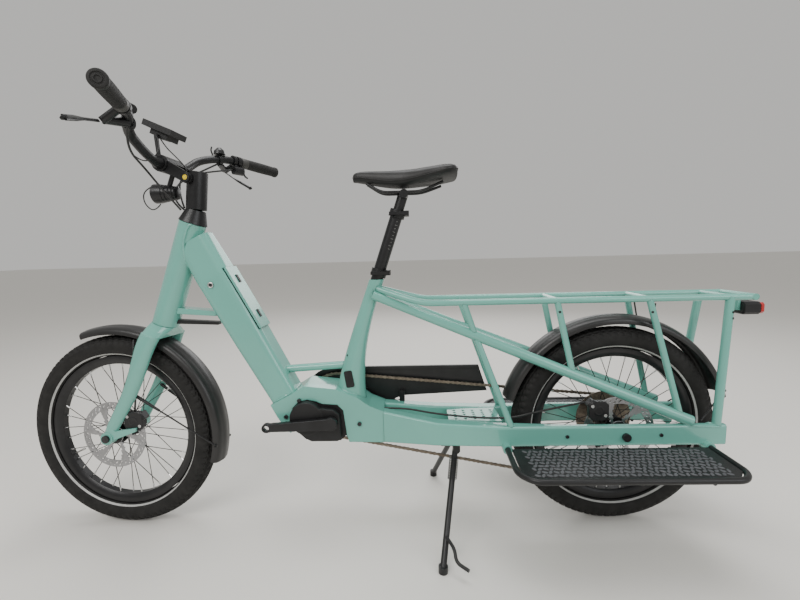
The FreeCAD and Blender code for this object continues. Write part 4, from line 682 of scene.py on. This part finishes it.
FRONT_ROTOR, REAR_ROTOR = -44, -48
FRONT_HUB = [(-50, 6.1), (-50, 11), (-45, 12), (-45, 24), (-40, 24), (-39, 16), (-33, 17), (-32.5, 29), (-27.5, 29),
             (-26, 17), (0, 14.5), (26, 17), (27.5, 29), (32.5, 29), (34, 15), (46, 13), (50, 11), (50, 6.1)]
REAR_HUB = [(-74, 6.1), (-74, 11.5), (-52, 12), (-49, 24), (-44, 24), (-42, 18), (-33, 18), (-32.5, 29), (-27.5, 29),
            (-26, 20), (0, 18), (26, 20), (27.5, 29), (32.5, 29), (34, 17), (70, 16.9), (71, 12), (74, 11.5), (74, 6.1)]


def make_wheel(side, joint, body):
    """Tyre, rim, spokes, nipples and valve of one wheel."""
    centre, axis = joint_place(joint), joint_axis(joint)
    make_tyre(side + "_tyre_cut", centre, axis, body, side + "_tyre")
    rim = Builder()
    rim.spin(centre, axis, in_mm(RIM_PROFILE), segments=160, closed_profile=True)
    shell = rim.done(side + "_rim_shell", black_alloy, body, "black_alloy")
    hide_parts(side + "_rim")
    make_spokes(side + "_spoke_set", centre, axis, body, side + "_spokes")
    level, above = side_axes(axis)
    a = math.radians(205)
    out = turned(level, above, a)
    valve = Builder()
    valve.tube([centre + out * r * MM for r in (146, 148, 158, 160, 186)],
               [1.6 * MM, 2.8 * MM, 2.8 * MM, 2.2 * MM, 2.2 * MM], sides=12)
    valve.done(side + "_valve", steel, body, "raw_steel")


make_wheel("front", "front_wheel_spin", "front_wheel")
make_wheel("rear", "rear_wheel_spin", "rear_wheel")
make_hub("front", FRONT_AXLE, joint_axis("front_wheel_spin"), "front_wheel", FRONT_HUB, FRONT_ROTOR)
make_hub("rear", REAR_AXLE, joint_axis("rear_wheel_spin"), "rear_wheel", REAR_HUB, REAR_ROTOR)


# ------------------------------------------------------------------ fenders
FENDER_HALF, FENDER_SKIRT, FENDER_WALL = 34 * MM, 20 * MM, 2 * MM
# Vertices farther out than this and nearer the middle than this belong to the crown of a fender.
FENDER_LEAST, FENDER_CROWN = 0.2855, 13 * MM
REAR_FENDER, FRONT_FENDER, WIRE = 297 * MM, 292 * MM, 2.0 * MM


def fender_angles(node, centre, axis):
    """The first and last angle of a fender round its wheel, read from its solid."""
    level, above = side_axes(axis)
    found = []
    for v in nodes[node].data.vertices:
        reach = v.co - centre
        x, z = reach.dot(level), reach.dot(above)
        if math.hypot(x, z) > FENDER_LEAST and abs(reach.dot(axis)) < FENDER_CROWN:
            found.append(math.atan2(z, x))
    return min(found), max(found)


def make_fender(side, joint, body, radius):
    """A rolled shell with a raised ridge along its middle."""
    centre, axis = joint_place(joint), joint_axis(joint)
    first, last = fender_angles(side + "_fender", centre, axis)
    outer, inner = [], []
    for k in range(-12, 13):
        t = k / 12 * math.pi / 2
        across = math.copysign(abs(math.sin(t)) ** 0.85, t)
        drop = FENDER_SKIRT * (1 - abs(math.cos(t)) ** 0.62)
        ridge = 1.2 * MM if abs(k) <= 1 else 0.0
        outer.append((FENDER_HALF * across, radius - 1.2 * MM - drop + ridge))
        inner.append(((FENDER_HALF - FENDER_WALL) * across, radius - 1.2 * MM - drop * 0.98 - FENDER_WALL))
    build = Builder()
    build.spin(centre, axis, outer + inner[::-1], segments=72, start=first, sweep=last - first,
               closed_profile=True)
    shell = build.done(side + "_fender_shell", fender_plastic, body, "black_plastic")
    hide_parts(side + "_fender")
    return centre, axis


def wheel_point(centre, axis, radius, degrees, side):
    """A point round a wheel: 0 degrees is rearward and 90 is up."""
    level, above = side_axes(axis)
    a = math.radians(degrees)
    return centre + level * math.cos(a) * radius + above * math.sin(a) * radius + axis * side


def make_fenders():
    """Both shells with their wires, and the front one's hanger."""
    centre, axis = make_fender("rear", "rear_wheel_spin", "frame", REAR_FENDER)
    wires = Builder()
    for side in (-1, 1):
        low = wheel_point(centre, axis, 286 * MM, 20, side * FENDER_HALF)
        wires.tube([low, Vector((0.806, side * 0.066, 0.296))], WIRE)
        wires.bolt(low, axis * side, 4 * MM, 3 * MM)
        high = wheel_point(centre, axis, 286 * MM, 74, side * FENDER_HALF)
        wires.tube([high, Vector((0.690, side * 0.049, 0.592))], WIRE)
    wires.done("rear_fender_wires", black_coat, "frame", "black_paint")
    centre, axis = make_fender("front", "front_wheel_spin", "steering", FRONT_FENDER)
    wires = Builder()
    for side in (-1, 1):
        low = wheel_point(centre, axis, 281 * MM, -6, side * FENDER_HALF)
        high = STEER_BASE + STEER_UP * 0.130 + STEM_AXIS * side * 0.050
        wires.tube([low, low.lerp(high, 0.8)], WIRE)
        wires.tube([low.lerp(high, 0.7), high], [3.2 * MM, 4.5 * MM])
        wires.bolt(low, axis * side, 4 * MM, 3 * MM)
    top = wheel_point(centre, axis, 290 * MM, 66.5, 0)
    wires.tube([top, STEER_BASE + STEER_UP * 0.299], 5 * MM)
    wires.done("front_fender_wires", black_coat, "steering", "black_paint")


make_fenders()


# ------------------------------------------------------------------ weld beads
def bead(build, ring, radius, least=0):
    """A rippled bead along a closed ring of points, if the ring has enough of them."""
    if len(ring) <= least:
        return
    count = len(ring)
    rows = []
    for i, point in enumerate(ring):
        ahead = (ring[(i + 1) % count] - ring[i - 1]).normalized()
        level, above = side_axes(ahead)
        swell = radius * (1 + 0.16 * math.sin(TAU * i / 3.0))
        rows.append([point + turned(level, above, TAU * k / 8) * swell
                     for k in range(8)])
    # Neighbouring rings start at the corner nearest to the last one's first corner.
    for i in range(1, count):
        shift = min(range(8), key=lambda s: (rows[i][s] - rows[i - 1][0]).length)
        rows[i] = rows[i][shift:] + rows[i][:shift]
        if (rows[i][1] - rows[i - 1][1]).length > (rows[i][-1] - rows[i - 1][1]).length:
            rows[i] = [rows[i][0]] + rows[i][:0:-1]
    build.loft(rows)


def ring_on(tree, start, run, radius, far=0.2, samples=72):
    """Where a round tube's wall meets a surface: rays along the tube from a ring round its start."""
    level, above = side_axes(run)
    ring = []
    for k in range(samples + 1):
        a = TAU * k / samples
        origin = start + turned(level, above, a) * radius
        hit = tree.ray_cast(origin, run, far)[0]
        if hit:
            ring.append(hit)
    return ring


# Distance up the down tube, half its width and depth there, and its corners' radius.
HEAD_SECTION, SHELL_SECTION = (0.30, 0.0325, 0.0447, 0.0195), (0.002, 0.0412, 0.0362, 0.016)


def make_welds():
    """Beads where the tubes of the frame meet."""
    build = Builder()
    head = tree_of("head_tube")
    shell = tree_of("motor_shell")
    stays = tree_of("chain_stays")
    seat = tree_of("seat_tube")

    def section(up, half_side, half_out, corner, samples=96):
        points = []
        for k in range(samples):
            a = TAU * k / samples
            c, s = math.cos(a), math.sin(a)
            n = 2.0 + 2.4 * (1 - corner / half_out)
            points.append((math.copysign(abs(c) ** (2 / n), c) * half_side,
                           math.copysign(abs(s) ** (2 / n), s) * half_out))
        return [DOWN_FOOT + DOWN_UP * up + RIGHTWARD * y + DOWN_OUT * o for y, o in points]

    ring = []
    for point in section(*HEAD_SECTION):
        hit = head.ray_cast(point, DOWN_UP, 0.3)[0]
        if hit:
            ring.append(hit)
    bead(build, ring, 3.2 * MM, 20)
    bead(build, section(*SHELL_SECTION), 3.0 * MM)
    for side in (-1, 1):
        front, rear = Vector((-0.010, side * 0.022, 0.625)), Vector((0.775, side * 0.076, 0.300))
        run = (rear - front).normalized()
        bead(build, ring_on(seat, front + run * 0.08, -run, 12.2 * MM), 2.0 * MM, 30)
        bead(build, ring_on(stays, rear - run * 0.12, run, 13.9 * MM), 2.2 * MM, 30)
    ring = ring_on(shell, Vector((-0.074, 0, 0.43)), Vector((-0.06, 0, -1)).normalized(), 31 * MM, 0.12)
    bead(build, ring, 2.8 * MM, 40)
    build.done("weld_beads", bead_paint, "frame", "frame_paint")


make_welds()

# ------------------------------------------------------------------ saddle
# share of the length, half width, top, depth of the sewn edge below the top
SADDLE_STATIONS = [(0.0, 0.008, 0.927, 0.006), (0.02, 0.0155, 0.934, 0.012), (0.08, 0.0205, 0.938, 0.018),
                   (0.20, 0.0245, 0.9385, 0.024), (0.34, 0.029, 0.9375, 0.029), (0.48, 0.037, 0.9375, 0.030),
                   (0.60, 0.050, 0.9385, 0.027), (0.72, 0.067, 0.9410, 0.025), (0.83, 0.080, 0.9430, 0.022),
                   (0.91, 0.0825, 0.9435, 0.018), (0.97, 0.070, 0.941, 0.013), (1.0, 0.045, 0.935, 0.006)]


def make_saddle():
    """A firm moulded saddle: a crowned cover with a shallow channel, a sewn edge and a hard base."""
    low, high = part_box("saddle")
    length = high.x - low.x
    rows, seam = [], {-1: [], 1: []}
    around = 40
    for share, half, top, depth in SADDLE_STATIONS:
        x = low.x + 0.0015 + share * (length - 0.003)
        row = []
        for k in range(around):
            a = TAU * k / around
            c, s = math.cos(a), math.sin(a)
            y = math.copysign(abs(c) ** 0.72, c) * half
            if s >= 0:
                z = top - depth + depth * abs(s) ** 0.8
                z -= 0.0035 * math.exp(-(y / 0.012) ** 2) * math.sin(math.pi * min(1, share * 1.1))
            else:
                z = top - depth - (0.011 + 0.008 * share) * abs(s) ** 0.6
                y *= 1 - 0.3 * abs(s)
            row.append(Vector((x, y, z)))
        rows.append(row)
        for side in (-1, 1):
            seam[side].append(Vector((x, side * half, top - depth)))
    build = Builder()
    build.grid(rows, number=lambda _, c: 0 if c < around // 2 else 1)
    build.cap(rows[0])
    build.cap(rows[-1])
    cover = build.done("saddle_cover", [leather, black_plastic], "inner_post", "saddle_cover")
    divide = cover.modifiers.new("round", "SUBSURF")
    divide.levels = divide.render_levels = 2
    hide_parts("saddle")
    piping = Builder()
    piping.tube(smooth_line(seam[-1] + seam[1][::-1], 6), 1.1 * MM, sides=8)
    piping.done("saddle_piping", leather, "inner_post", "saddle_cover")


make_saddle()


# ------------------------------------------------------------------ cockpit
def solid_axis(node, side):
    """The inner and outer end of a node's round solid on one side, and its axis."""
    points = np.array([v.co for v in nodes[node].data.vertices if v.co.y * side > 0])
    middle = points.mean(0)
    _, _, directions = np.linalg.svd(points - middle)
    axis = Vector(directions[0])
    if axis.y * side < 0:
        axis = -axis
    shares = (points - middle) @ np.array(axis)
    inner = Vector(middle) + axis * float(shares.min())
    outer = Vector(middle) + axis * float(shares.max())
    return inner, outer, axis


def make_grips():
    """Ribbed rubber sleeves with a collar at the inner end and a ringed cap at the outer end."""
    build = Builder()
    for side in (-1, 1):
        inner, outer, axis = solid_axis("grips", side)
        length = (outer - inner).length
        profile = [(0, 11.3), (0, 14.4), (1.5, 15.3), (21, 15.3), (22.5, 14.2)]
        ribs = 20
        first, last = 24.0, length / MM - 10
        for k in range(ribs):
            a = first + (last - first) * k / ribs
            step = (last - first) / ribs
            swell = 0.7 * math.sin(math.pi * k / ribs)
            profile += [(a, 14.2 + swell), (a + step * 0.2, 15.1 + swell), (a + step * 0.7, 15.1 + swell),
                        (a + step * 0.9, 14.2 + swell)]
        end = length / MM
        profile += [(last, 15.4), (last + 1, 16.3), (end - 2, 16.3), (end - 0.5, 15.2), (end, 13.5), (end, 11),
                    (end - 1.2, 10.2), (end - 1.2, 8.2), (end, 7.4), (end, 5.0), (end - 1.4, 4.4), (end - 1.4, 0)]
        cut_at = 4

        def number(_, c):
            return 1 if c < cut_at else 0

        build.spin(inner, axis, in_mm(profile), segments=48, number=number)
    grips = build.done("grip_sleeves", [grip_rubber, grip_collar], "handlebar", "grip_rubber")
    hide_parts("grips")


def make_blades():
    """Flat curved brake blades with a hole in the ball end."""
    for side, name in ((-1, "left"), (1, "right")):
        pivot = joint_place(name + "_brake_pull")
        node = name + "_brake_blade"
        points = np.array([v.co for v in nodes[node].data.vertices])
        tip = Vector(points[np.argmax(np.linalg.norm(points - np.array(pivot), axis=1))])
        run = (tip - pivot).normalized()
        tip -= run * 6.5 * MM
        elbow = steered((-500, side * 290, 988))
        root = steered((-506.6, side * 238, 1001.5)) + run * 2 * MM
        line = smooth_line([root, root.lerp(elbow, 0.55), elbow, elbow.lerp(tip, 0.5), tip], 8)
        thin = joint_axis(name + "_brake_pull").cross(run).normalized()
        count = len(line)
        radii = [(3.5 + 2.6 * min(1.0, max(0.0, (i / count - 0.35) / 0.35))) * MM for i in range(count)]
        build = Builder()
        build.tube(line, radii, sides=16, flat=(thin, 0.5))
        ring_axis = joint_axis(name + "_brake_pull")
        build.spin(tip, ring_axis, in_mm([(-2.4, 3), (-2.8, 4.6), (-1.6, 6.3), (1.6, 6.3), (2.8, 4.6), (2.4, 3)]),
                   segments=28, closed_profile=True)
        blade = build.done(name + "_blade_forging", black_alloy, node, "black_alloy")
        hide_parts(node)


def make_bar():
    """The handlebar as one smooth bent tube, thicker at the clamp."""
    route = [(-530, 0, 968), (-530, 34, 968), (-530, 62, 970), (-532, 98, 990), (-530, 132, 1011),
             (-505, 164, 1024), (-478, 196, 1029.5), (-440, 272, 1026.5), (-396, 360, 1022)]
    right = [steered(p) for p in route]
    left = [steered((x, -y, z)) for x, y, z in route]
    line = smooth_line(left[::-1] + right[1:], 12)
    centre = steered(route[0])
    radii = []
    for point in line:
        reach = (point - centre).length
        share = min(1.0, max(0.0, (reach - 0.036) / 0.03))
        share = share * share * (3 - 2 * share)
        radii.append((15.9 * (1 - share) + 11.1 * share) * MM)
    build = Builder()
    build.tube(line, radii, sides=28)
    bar = build.done("bar_tube", black_alloy, "handlebar", "black_alloy")
    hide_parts("handlebar")


HOSE_ROUTES = [
    [(-492, -179, 1015), (-520, -160, 975), (-541, -70, 944), (-534, -38, 912), (-499, -10, 854)],
    [(-492, 179, 1015), (-530, 128, 978), (-566, 80, 940), (-546, 30, 884), (-499, 10, 854)],
    [(-466, 205, 1000), (-500, 150, 985), (-546, 70, 958), (-534, 40, 905), (-498, 3.2, 862)],
]
LEAD_ROUTES = [
    [(-538, -22, 1040), (-520, -24, 1010), (-492, -30, 985), (-468, -20, 955), (-470, -4, 905), (-490, 0, 866)],
    [(-540, -28, 1042), (-522, -42, 1016), (-524, -48, 984), (-552, -60, 962), (-560, -80, 975)],
    [(-566, -18, 915), (-590, -22, 905), (-592, -20, 872), (-570, -12, 850), (-556, -6, 872)],
]


def make_leads():
    """Brake hoses, the shift housing and thin leads, as smooth lines."""
    build = Builder()
    for route in HOSE_ROUTES:
        build.tube(steered_line(route), 2.5 * MM, sides=12)
    build.tube(steered_line(LEAD_ROUTES[0]), 1.5 * MM, sides=10)
    hoses = build.done("control_lines", hose_black, None, "hose")
    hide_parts("control_hoses")
    tuple(steered((-540, 0, 955)))
    tuple(steered((-500, 0, 862)))
    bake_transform(hoses)
    build = Builder()
    for route in LEAD_ROUTES[1:]:
        build.tube(steered_line(route), 1.5 * MM, sides=10)
    build.done("thin_leads", hose_black, "handlebar", "hose")


def make_small_parts():
    """Stem pin caps of the cockpit, with yellow centres."""
    build = Builder()
    for side in (-1, 1):
        face = STEM_PIVOT + STEM_AXIS * side * 38 * MM
        outward = STEM_AXIS * side
        build.spin(face, outward, in_mm([(-4, 11), (0.5, 11), (1.4, 10), (1.4, 6.5), (0.6, 6.2)]), segments=40)
        build.spin(face, outward, in_mm([(0.6, 6.2), (1.2, 5.4), (1.3, 0)]), segments=40, number=1)
    build.done("stem_pin_caps", [black_alloy, yellow_cap], "handlebar", "black_alloy")


make_grips()
make_blades()
make_bar()
make_leads()
make_small_parts()
moulded("motor_covers", "motor_cover_mouldings", 1.6 * MM, 4, black_plastic, "frame")
moulded("crank_arms", "crank_forgings", 1.4 * MM, 5, black_alloy, "crank")


# ------------------------------------------------------------------ chain
CHAIN_Y, PITCH, RING_RADIUS, COG_RADIUS = 0.050, 12.7 * MM, 93 * MM, 60.6 * MM
GUIDES = [Vector((0.611, 0, 0.172)), Vector((0.574, 0, 0.092))]
GUIDE_RADIUS = 22 * MM
# A plate's round end and waist, half its thickness, and the roller with its pin, in millimetres.
PLATE_END, PLATE_WAIST, PLATE_HALF, PIN_HALF, ROLLER = 4, 2.7, 0.4, 3.3, 1.8


def chain_line():
    """Evenly spaced pins along the chain's loop."""
    loop = [(CRANK, RING_RADIUS, 1), (REAR_AXLE, COG_RADIUS, 1), (GUIDES[0], GUIDE_RADIUS, -1),
            (GUIDES[1], GUIDE_RADIUS, 1)]
    rings = [(np.array((c.x, c.z)), r, t) for c, r, t in loop]
    leaves, meets = [], []
    for (c, r, t), (c2, r2, t2) in zip(rings, rings[1:] + rings[:1]):
        between = c2 - c
        length = np.linalg.norm(between)
        ahead = between / length
        left = np.array((-ahead[1], ahead[0]))
        lean = (r * t - r2 * t2) / length
        normal = ahead * lean + left * math.sqrt(1 - lean * lean)
        leaves.append(c + normal * r * t)
        meets.append(c2 + normal * r2 * t2)
    path = []
    for i, (c, r, t) in enumerate(rings):
        arrive, leave = meets[i - 1] - c, leaves[i] - c
        a, b = math.atan2(arrive[1], arrive[0]), math.atan2(leave[1], leave[0])
        sweep = (a - b) % TAU if t > 0 else -((b - a) % TAU)
        steps = max(4, int(abs(sweep) * r / (1.5 * MM)))
        for k in range(steps + 1):
            angle = a - sweep * k / steps
            path.append(c + np.array((math.cos(angle), math.sin(angle))) * r)
    path = np.array(path + path[:1])
    spans = np.linalg.norm(np.diff(path, axis=0), axis=1)
    total = spans.sum()
    marks = np.concatenate(([0], np.cumsum(spans)))
    links = 2 * round(total / PITCH / 2)
    wanted = np.arange(links) * total / links
    return np.column_stack((np.interp(wanted, marks, path[:, 0]), np.interp(wanted, marks, path[:, 1])))


def make_chain():
    """Waisted plates in pairs, and rollers."""
    pins = chain_line()
    build = Builder()
    count = len(pins)
    side = RIGHTWARD
    for i in range(count):
        a = Vector((pins[i][0], CHAIN_Y, pins[i][1]))
        b = Vector((pins[(i + 1) % count][0], CHAIN_Y, pins[(i + 1) % count][1]))
        run = (b - a).normalized()
        across = side.cross(run)
        outline = []
        for pin, first, way in ((a, math.pi / 2, -1), (b, -math.pi / 2, 1)):
            for k in range(5):
                t = first + math.pi * k / 4
                outline.append(pin + run * math.cos(t) * PLATE_END * MM + across * math.sin(t) * PLATE_END * MM)
            outline.append((a + b) / 2 + across * way * PLATE_WAIST * MM)
        offset = 2.55 * MM if i % 2 else 1.65 * MM
        for sign in (-1, 1):
            near = side * sign * (offset - PLATE_HALF * MM)
            far = side * sign * (offset + PLATE_HALF * MM)
            rows = [[p + near for p in outline], [p + far for p in outline]]
            build.loft(rows)
        build.tube([a - side * PIN_HALF * MM, a + side * PIN_HALF * MM], ROLLER * MM, sides=8)
    links = build.done("chain_links", chain_steel, "frame", "chain_steel", smooth=False)
    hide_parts("chain")


make_chain()


# ------------------------------------------------------------------ running boards
PAD_ROWS, PAD_COLUMNS, PAD_PITCH, PAD_ROW_PITCH = 9, 34, 0.0128, 0.0132
PAD_FIRST, PAD_LAST, PAD_RISE = 0.114, 0.222, 1.2 * MM


def make_decks():
    """Each deck's raised rubber pattern: crowded leaf-shaped pads in rows that lean by turns."""
    low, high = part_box("board_decks")
    build = Builder()
    for side in (-1, 1):
        for row in range(PAD_ROWS):
            for column in range(PAD_COLUMNS):
                x = low.x + 0.030 + (column + 0.5 * (row % 2)) * PAD_PITCH
                y = PAD_FIRST + row * PAD_ROW_PITCH
                if x > high.x - 0.028 or y > PAD_LAST:
                    continue
                wobble = noise.noise(Vector((x * 60, y * 60, 3)))
                lean = (0.95 if (row + column) % 2 else -0.55) + wobble * 0.9
                run = Vector((math.cos(lean), math.sin(lean), 0))
                across = Vector((-run.y, run.x, 0))
                centre = Vector((x, side * y, high.z - 0.0002))
                long_half, wide_half = (7.4 + 1.2 * wobble) * MM, (4.2 - 0.6 * wobble) * MM
                outline = []
                for k in range(12):
                    a = TAU * k / 12
                    outline.append((math.cos(a), math.copysign(abs(math.sin(a)) ** 1.25, math.sin(a))))
                ring = [centre + run * c * long_half + across * d * wide_half for c, d in outline]
                top = [centre + run * c * long_half * 0.86 + across * d * wide_half * 0.74 + Vector((0, 0, PAD_RISE))
                       for c, d in outline]
                build.loft([ring, top])
    build.done("deck_pads", pad_rubber, "frame", "black_plastic")


make_decks()


# ------------------------------------------------------------------ lights
def make_lights():
    """The headlight's ringed cup with its lens, and the rear light's body with its red lens."""
    front, rear = steered((-572, 0, 899)), steered((-508, 0, 899))
    axis = (front - rear).normalized()
    length = (front - rear).length / MM
    cup = Builder()
    profile = [(0, 0), (0, 9), (1.5, 13), (4, 16.6)]
    for k in range(4):
        a = 8 + 9 * k
        r = 17.5 + 1.5 * k
        profile += [(a, r), (a + 1, r - 1.2), (a + 2.2, r - 1.2), (a + 3.2, r + 0.3)]
    profile += [(length - 14, 24.6), (length - 1, 24.9), (length, 23.8), (length - 0.6, 22.4), (length - 3, 22.0)]
    cup.spin(rear, axis, in_mm(profile), segments=56)
    lens = [(length - 3, 22), (length - 2.2, 15), (length - 1.9, 7), (length - 1.8, 0)]
    cup.spin(rear, axis, in_mm(lens), segments=56, number=1)
    low = steered((-534, 0, 914))
    high = steered((-519, 0, 951))
    cup.tube([low, high], 6 * MM, sides=14)
    lamp = cup.done("headlight_cup", [black_alloy, clear_lens], "handlebar", "lamp_plastic")
    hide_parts("headlight")
    low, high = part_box("rear_light")
    body = Builder()
    axes = (RIGHTWARD, Vector((0, 0, 1)), Vector((1, 0, 0)))
    middle = (low + high) / 2
    lens_depth = 8 * MM
    halves = ((high.y - low.y) / 2, (high.z - low.z) / 2, (high.x - low.x - lens_depth) / 2)
    body.box(Vector((low.x + halves[2], middle.y, middle.z)), axes, halves, round_off=6 * MM)
    lens_half = (halves[0] - 2 * MM, halves[1] - 2 * MM, lens_depth / 2)
    body.box(Vector((high.x - lens_depth / 2, middle.y, middle.z)), axes, lens_half, 1, round_off=5 * MM)
    lamp = body.done("rear_lamp", [black_plastic, red_lens], "frame", "lamp_plastic")
    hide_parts("rear_light")


make_lights()


# ------------------------------------------------------------------ brakes
def make_caliper(node, body, hub, axis, rotor_low):
    """A caliper astride its rotor: two cast halves, a bridge beyond the rim, piston cap, bolts and fitting."""
    low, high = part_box(node)
    reach = (low + high) / 2 - hub
    reach -= axis * reach.dot(axis)
    ahead = Vector((1, 0, 0)) - axis * axis.x
    ahead.normalize()
    up = ahead.cross(axis)
    up = up if up.z > 0 else -up
    away = reach.normalized()
    around = away.cross(axis)
    half = (high - low) / 2
    length, height = half.x * 0.80, half.z * 0.82

    def at(along, centre=reach):
        return hub + centre + axis * along * MM

    build = Builder()
    build.box(at(rotor_low - 8.4), (ahead, up, axis), (length, height, 7.0 * MM), round_off=9 * MM)
    build.box(at(rotor_low + 6), (ahead, up, axis), (length * 0.8, height * 0.8, 2.7 * MM), round_off=7 * MM)
    build.box(at(rotor_low - 3, away * 107 * MM), (away, around, axis), (7 * MM, 11 * MM, 10.5 * MM),
              round_off=3 * MM)
    face = at(rotor_low - 15.2)
    build.spin(face, -axis, in_mm([(-3, 13), (0.1, 13), (0.6, 12), (0.6, 9), (0, 8.4), (0, 0)]), segments=40)
    for k in (-1, 0, 1):
        build.box(at(rotor_low - 8) + up * height * 0.98 + ahead * k * 8 * MM, (ahead, up, axis),
                  (1.4 * MM, height * 0.07, 6 * MM))
    for place in (-1, 1):
        build.bolt(face + ahead * place * length * 0.66 - up * place * height * 0.5, -axis, 4.2 * MM, 0.8 * MM, 1)
    fitting = at(rotor_low - 9) - ahead * length * 0.8 + up * height * 0.5
    build.tube([fitting, fitting - ahead * 6 * MM + up * 2 * MM], [4.2 * MM, 3.4 * MM], number=1)
    caliper = build.done(node + "_casting", [black_alloy, steel], body, "black_alloy")
    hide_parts(node)


def make_brakes():
    """Both calipers, the front one's mount on the fork and its hose."""
    make_caliper("rear_caliper", "frame", REAR_AXLE, joint_axis("rear_wheel_spin"), REAR_ROTOR)
    make_caliper("front_caliper", "steering", FRONT_AXLE, joint_axis("front_wheel_spin"), FRONT_ROTOR)
    low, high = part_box("front_caliper")
    foot = FRONT_AXLE - STEM_AXIS * 66 * MM
    reach = Vector((high.x - 6 * MM, foot.y, low.z + 6 * MM))
    rows = []
    outline = [foot + Vector((-2, 0, -12)) * MM, Vector((reach.x - 18 * MM, foot.y, reach.z - 1 * MM)),
               Vector((reach.x - 16 * MM, foot.y, reach.z + 9 * MM)), foot + Vector((24, 0, 20)) * MM,
               foot + Vector((10, 0, 34)) * MM]
    for shift in (-3.5 * MM, 3.5 * MM):
        rows.append([p + STEM_AXIS * shift for p in outline])
    plate = Builder()
    plate.loft(rows)
    plate.done("caliper_mount", paint, "steering", "frame_paint", smooth=False)
    top = steered((-640, -36, 520))
    end = Vector(((low.x + high.x) / 2, low.y + 14 * MM, high.z - 6 * MM))
    hose = Builder()
    hose.tube(smooth_line([top, steered((-628, -58, 470)), end + Vector((0.012, -0.004, 0.050)), end], 12),
              2.4 * MM, sides=12)
    hose.done("front_brake_hose", hose_black, "steering", "hose")


make_brakes()


# ------------------------------------------------------------------ hardware
# Places in the side view, as (x, z).
MOTOR_BOLTS = ((-0.209, 0.3555), (-0.246, 0.312), (-0.0535, 0.290))
STAY_BOLTS = ((0.470, 0.266), (0.700, 0.268))
POST_BOLTS = ((0.4527, 0.5775), (0.6763, 0.573), (0.866, 0.569), (0.867, 0.554))
PORT_MARKS, SEAT_BOLT = ((-0.079, 0.405), (-0.083, 0.428), (-0.075, 0.382)), (-0.083, 0.466)
MARKS, FIRST_MARK, MARK_PITCH = 9, 0.046, 0.009
SPRING_TURNS, SPRING_STEPS, SPRING_PITCH = 14, 12, 0.0042


def seen_from_left(tree, x, z):
    """Where a level ray from the rider's left meets a surface, and the surface's normal there."""
    return tree.ray_cast(Vector((x, -0.2, z)), RIGHTWARD, 0.3)[:2]


def make_hardware():
    """Bolts, caps and seat post marks."""
    bolts = Builder()
    left = Vector((0, -1, 0))
    for x, z in MOTOR_BOLTS:
        bolts.bolt(Vector((x, -0.049, z)), left, 5.4 * MM, 2.0 * MM)
    for x, z in STAY_BOLTS:
        bolts.bolt(Vector((x, -0.084, z)), left, 4.6 * MM, 2.4 * MM)
    posts = tree_of("rack_posts")
    for x, z in POST_BOLTS:
        hit, normal = seen_from_left(posts, x, z)
        if hit:
            bolts.bolt(hit - normal * 0.4 * MM, normal, 3.0 * MM, 1.6 * MM)
    lock = DOWN_FOOT + DOWN_UP * 0.345 - DOWN_OUT * 0.008 + left * 0.0405
    bolts.spin(lock, left, in_mm([(-1, 4.6), (1.6, 4.6), (2, 5.4), (1.4, 7.4), (-1, 7.4)]), segments=40, number=1,
               closed_profile=True)
    bolts.spin(lock, left, in_mm([(0.8, 4.6), (1, 1.6), (0.2, 1.2), (0.2, 0)]), segments=40)
    bolts.done("frame_bolts", [bolt_black, steel], "frame", "black_paint")
    seat = tree_of("seat_tube")
    cover = Builder()
    spots = []
    for x, z in PORT_MARKS:
        hit, normal = seen_from_left(seat, x, z)
        if hit:
            spots.append((hit, normal))
    if len(spots) == 3:
        rise = (spots[1][0] - spots[2][0]).normalized()
        out = (spots[0][1] - rise * spots[0][1].dot(rise)).normalized()
        cover.box(spots[0][0] + out * 0.4 * MM, (out.cross(rise), rise, out), (11 * MM, 22 * MM, 1.6 * MM),
                  round_off=3 * MM)
    hit, normal = seen_from_left(seat, *SEAT_BOLT)
    if hit:
        cover.bolt(hit, normal, 2.4 * MM, 1.2 * MM)
    if cover.verts:
        cover.done("port_cover", black_plastic, "frame", "black_plastic")
    marks = Builder()
    seat_up = joint_axis("seat_height")
    base = Vector((0.012, 0, 0.700))
    level = RIGHTWARD.cross(seat_up).normalized()
    for k in range(MARKS):
        place = base + seat_up * (FIRST_MARK + MARK_PITCH * k)
        a = math.radians(-64)
        out = (level * math.cos(a) + RIGHTWARD * math.sin(a)).normalized()
        across = seat_up.cross(out)
        half = 3.4 * MM if k % 2 else 2.2 * MM
        marks.box(place + out * 15.75 * MM, (across, seat_up, out), (half, 0.4 * MM, 0.15 * MM))
    marks.done("post_marks", mark_white, "outer_post", "black_alloy")
    springs = Builder()
    pivot = joint_place("kickstand_fold")
    top = pivot + Vector((-0.006, -0.046, -0.020))
    foot = Vector((0.149, -0.204, 0.010))
    run = (foot - pivot).normalized()
    level, above = side_axes(run)
    helix = []
    for k in range(SPRING_STEPS * SPRING_TURNS):
        a = TAU * k / SPRING_STEPS
        helix.append(top + run * (SPRING_PITCH * k / SPRING_STEPS) + turned(level, above, a) * 11.5 * MM)
    springs.tube(helix, 1.0 * MM, sides=6)
    springs.done("stand_spring", bolt_black, "kickstand", "black_paint")


make_hardware()
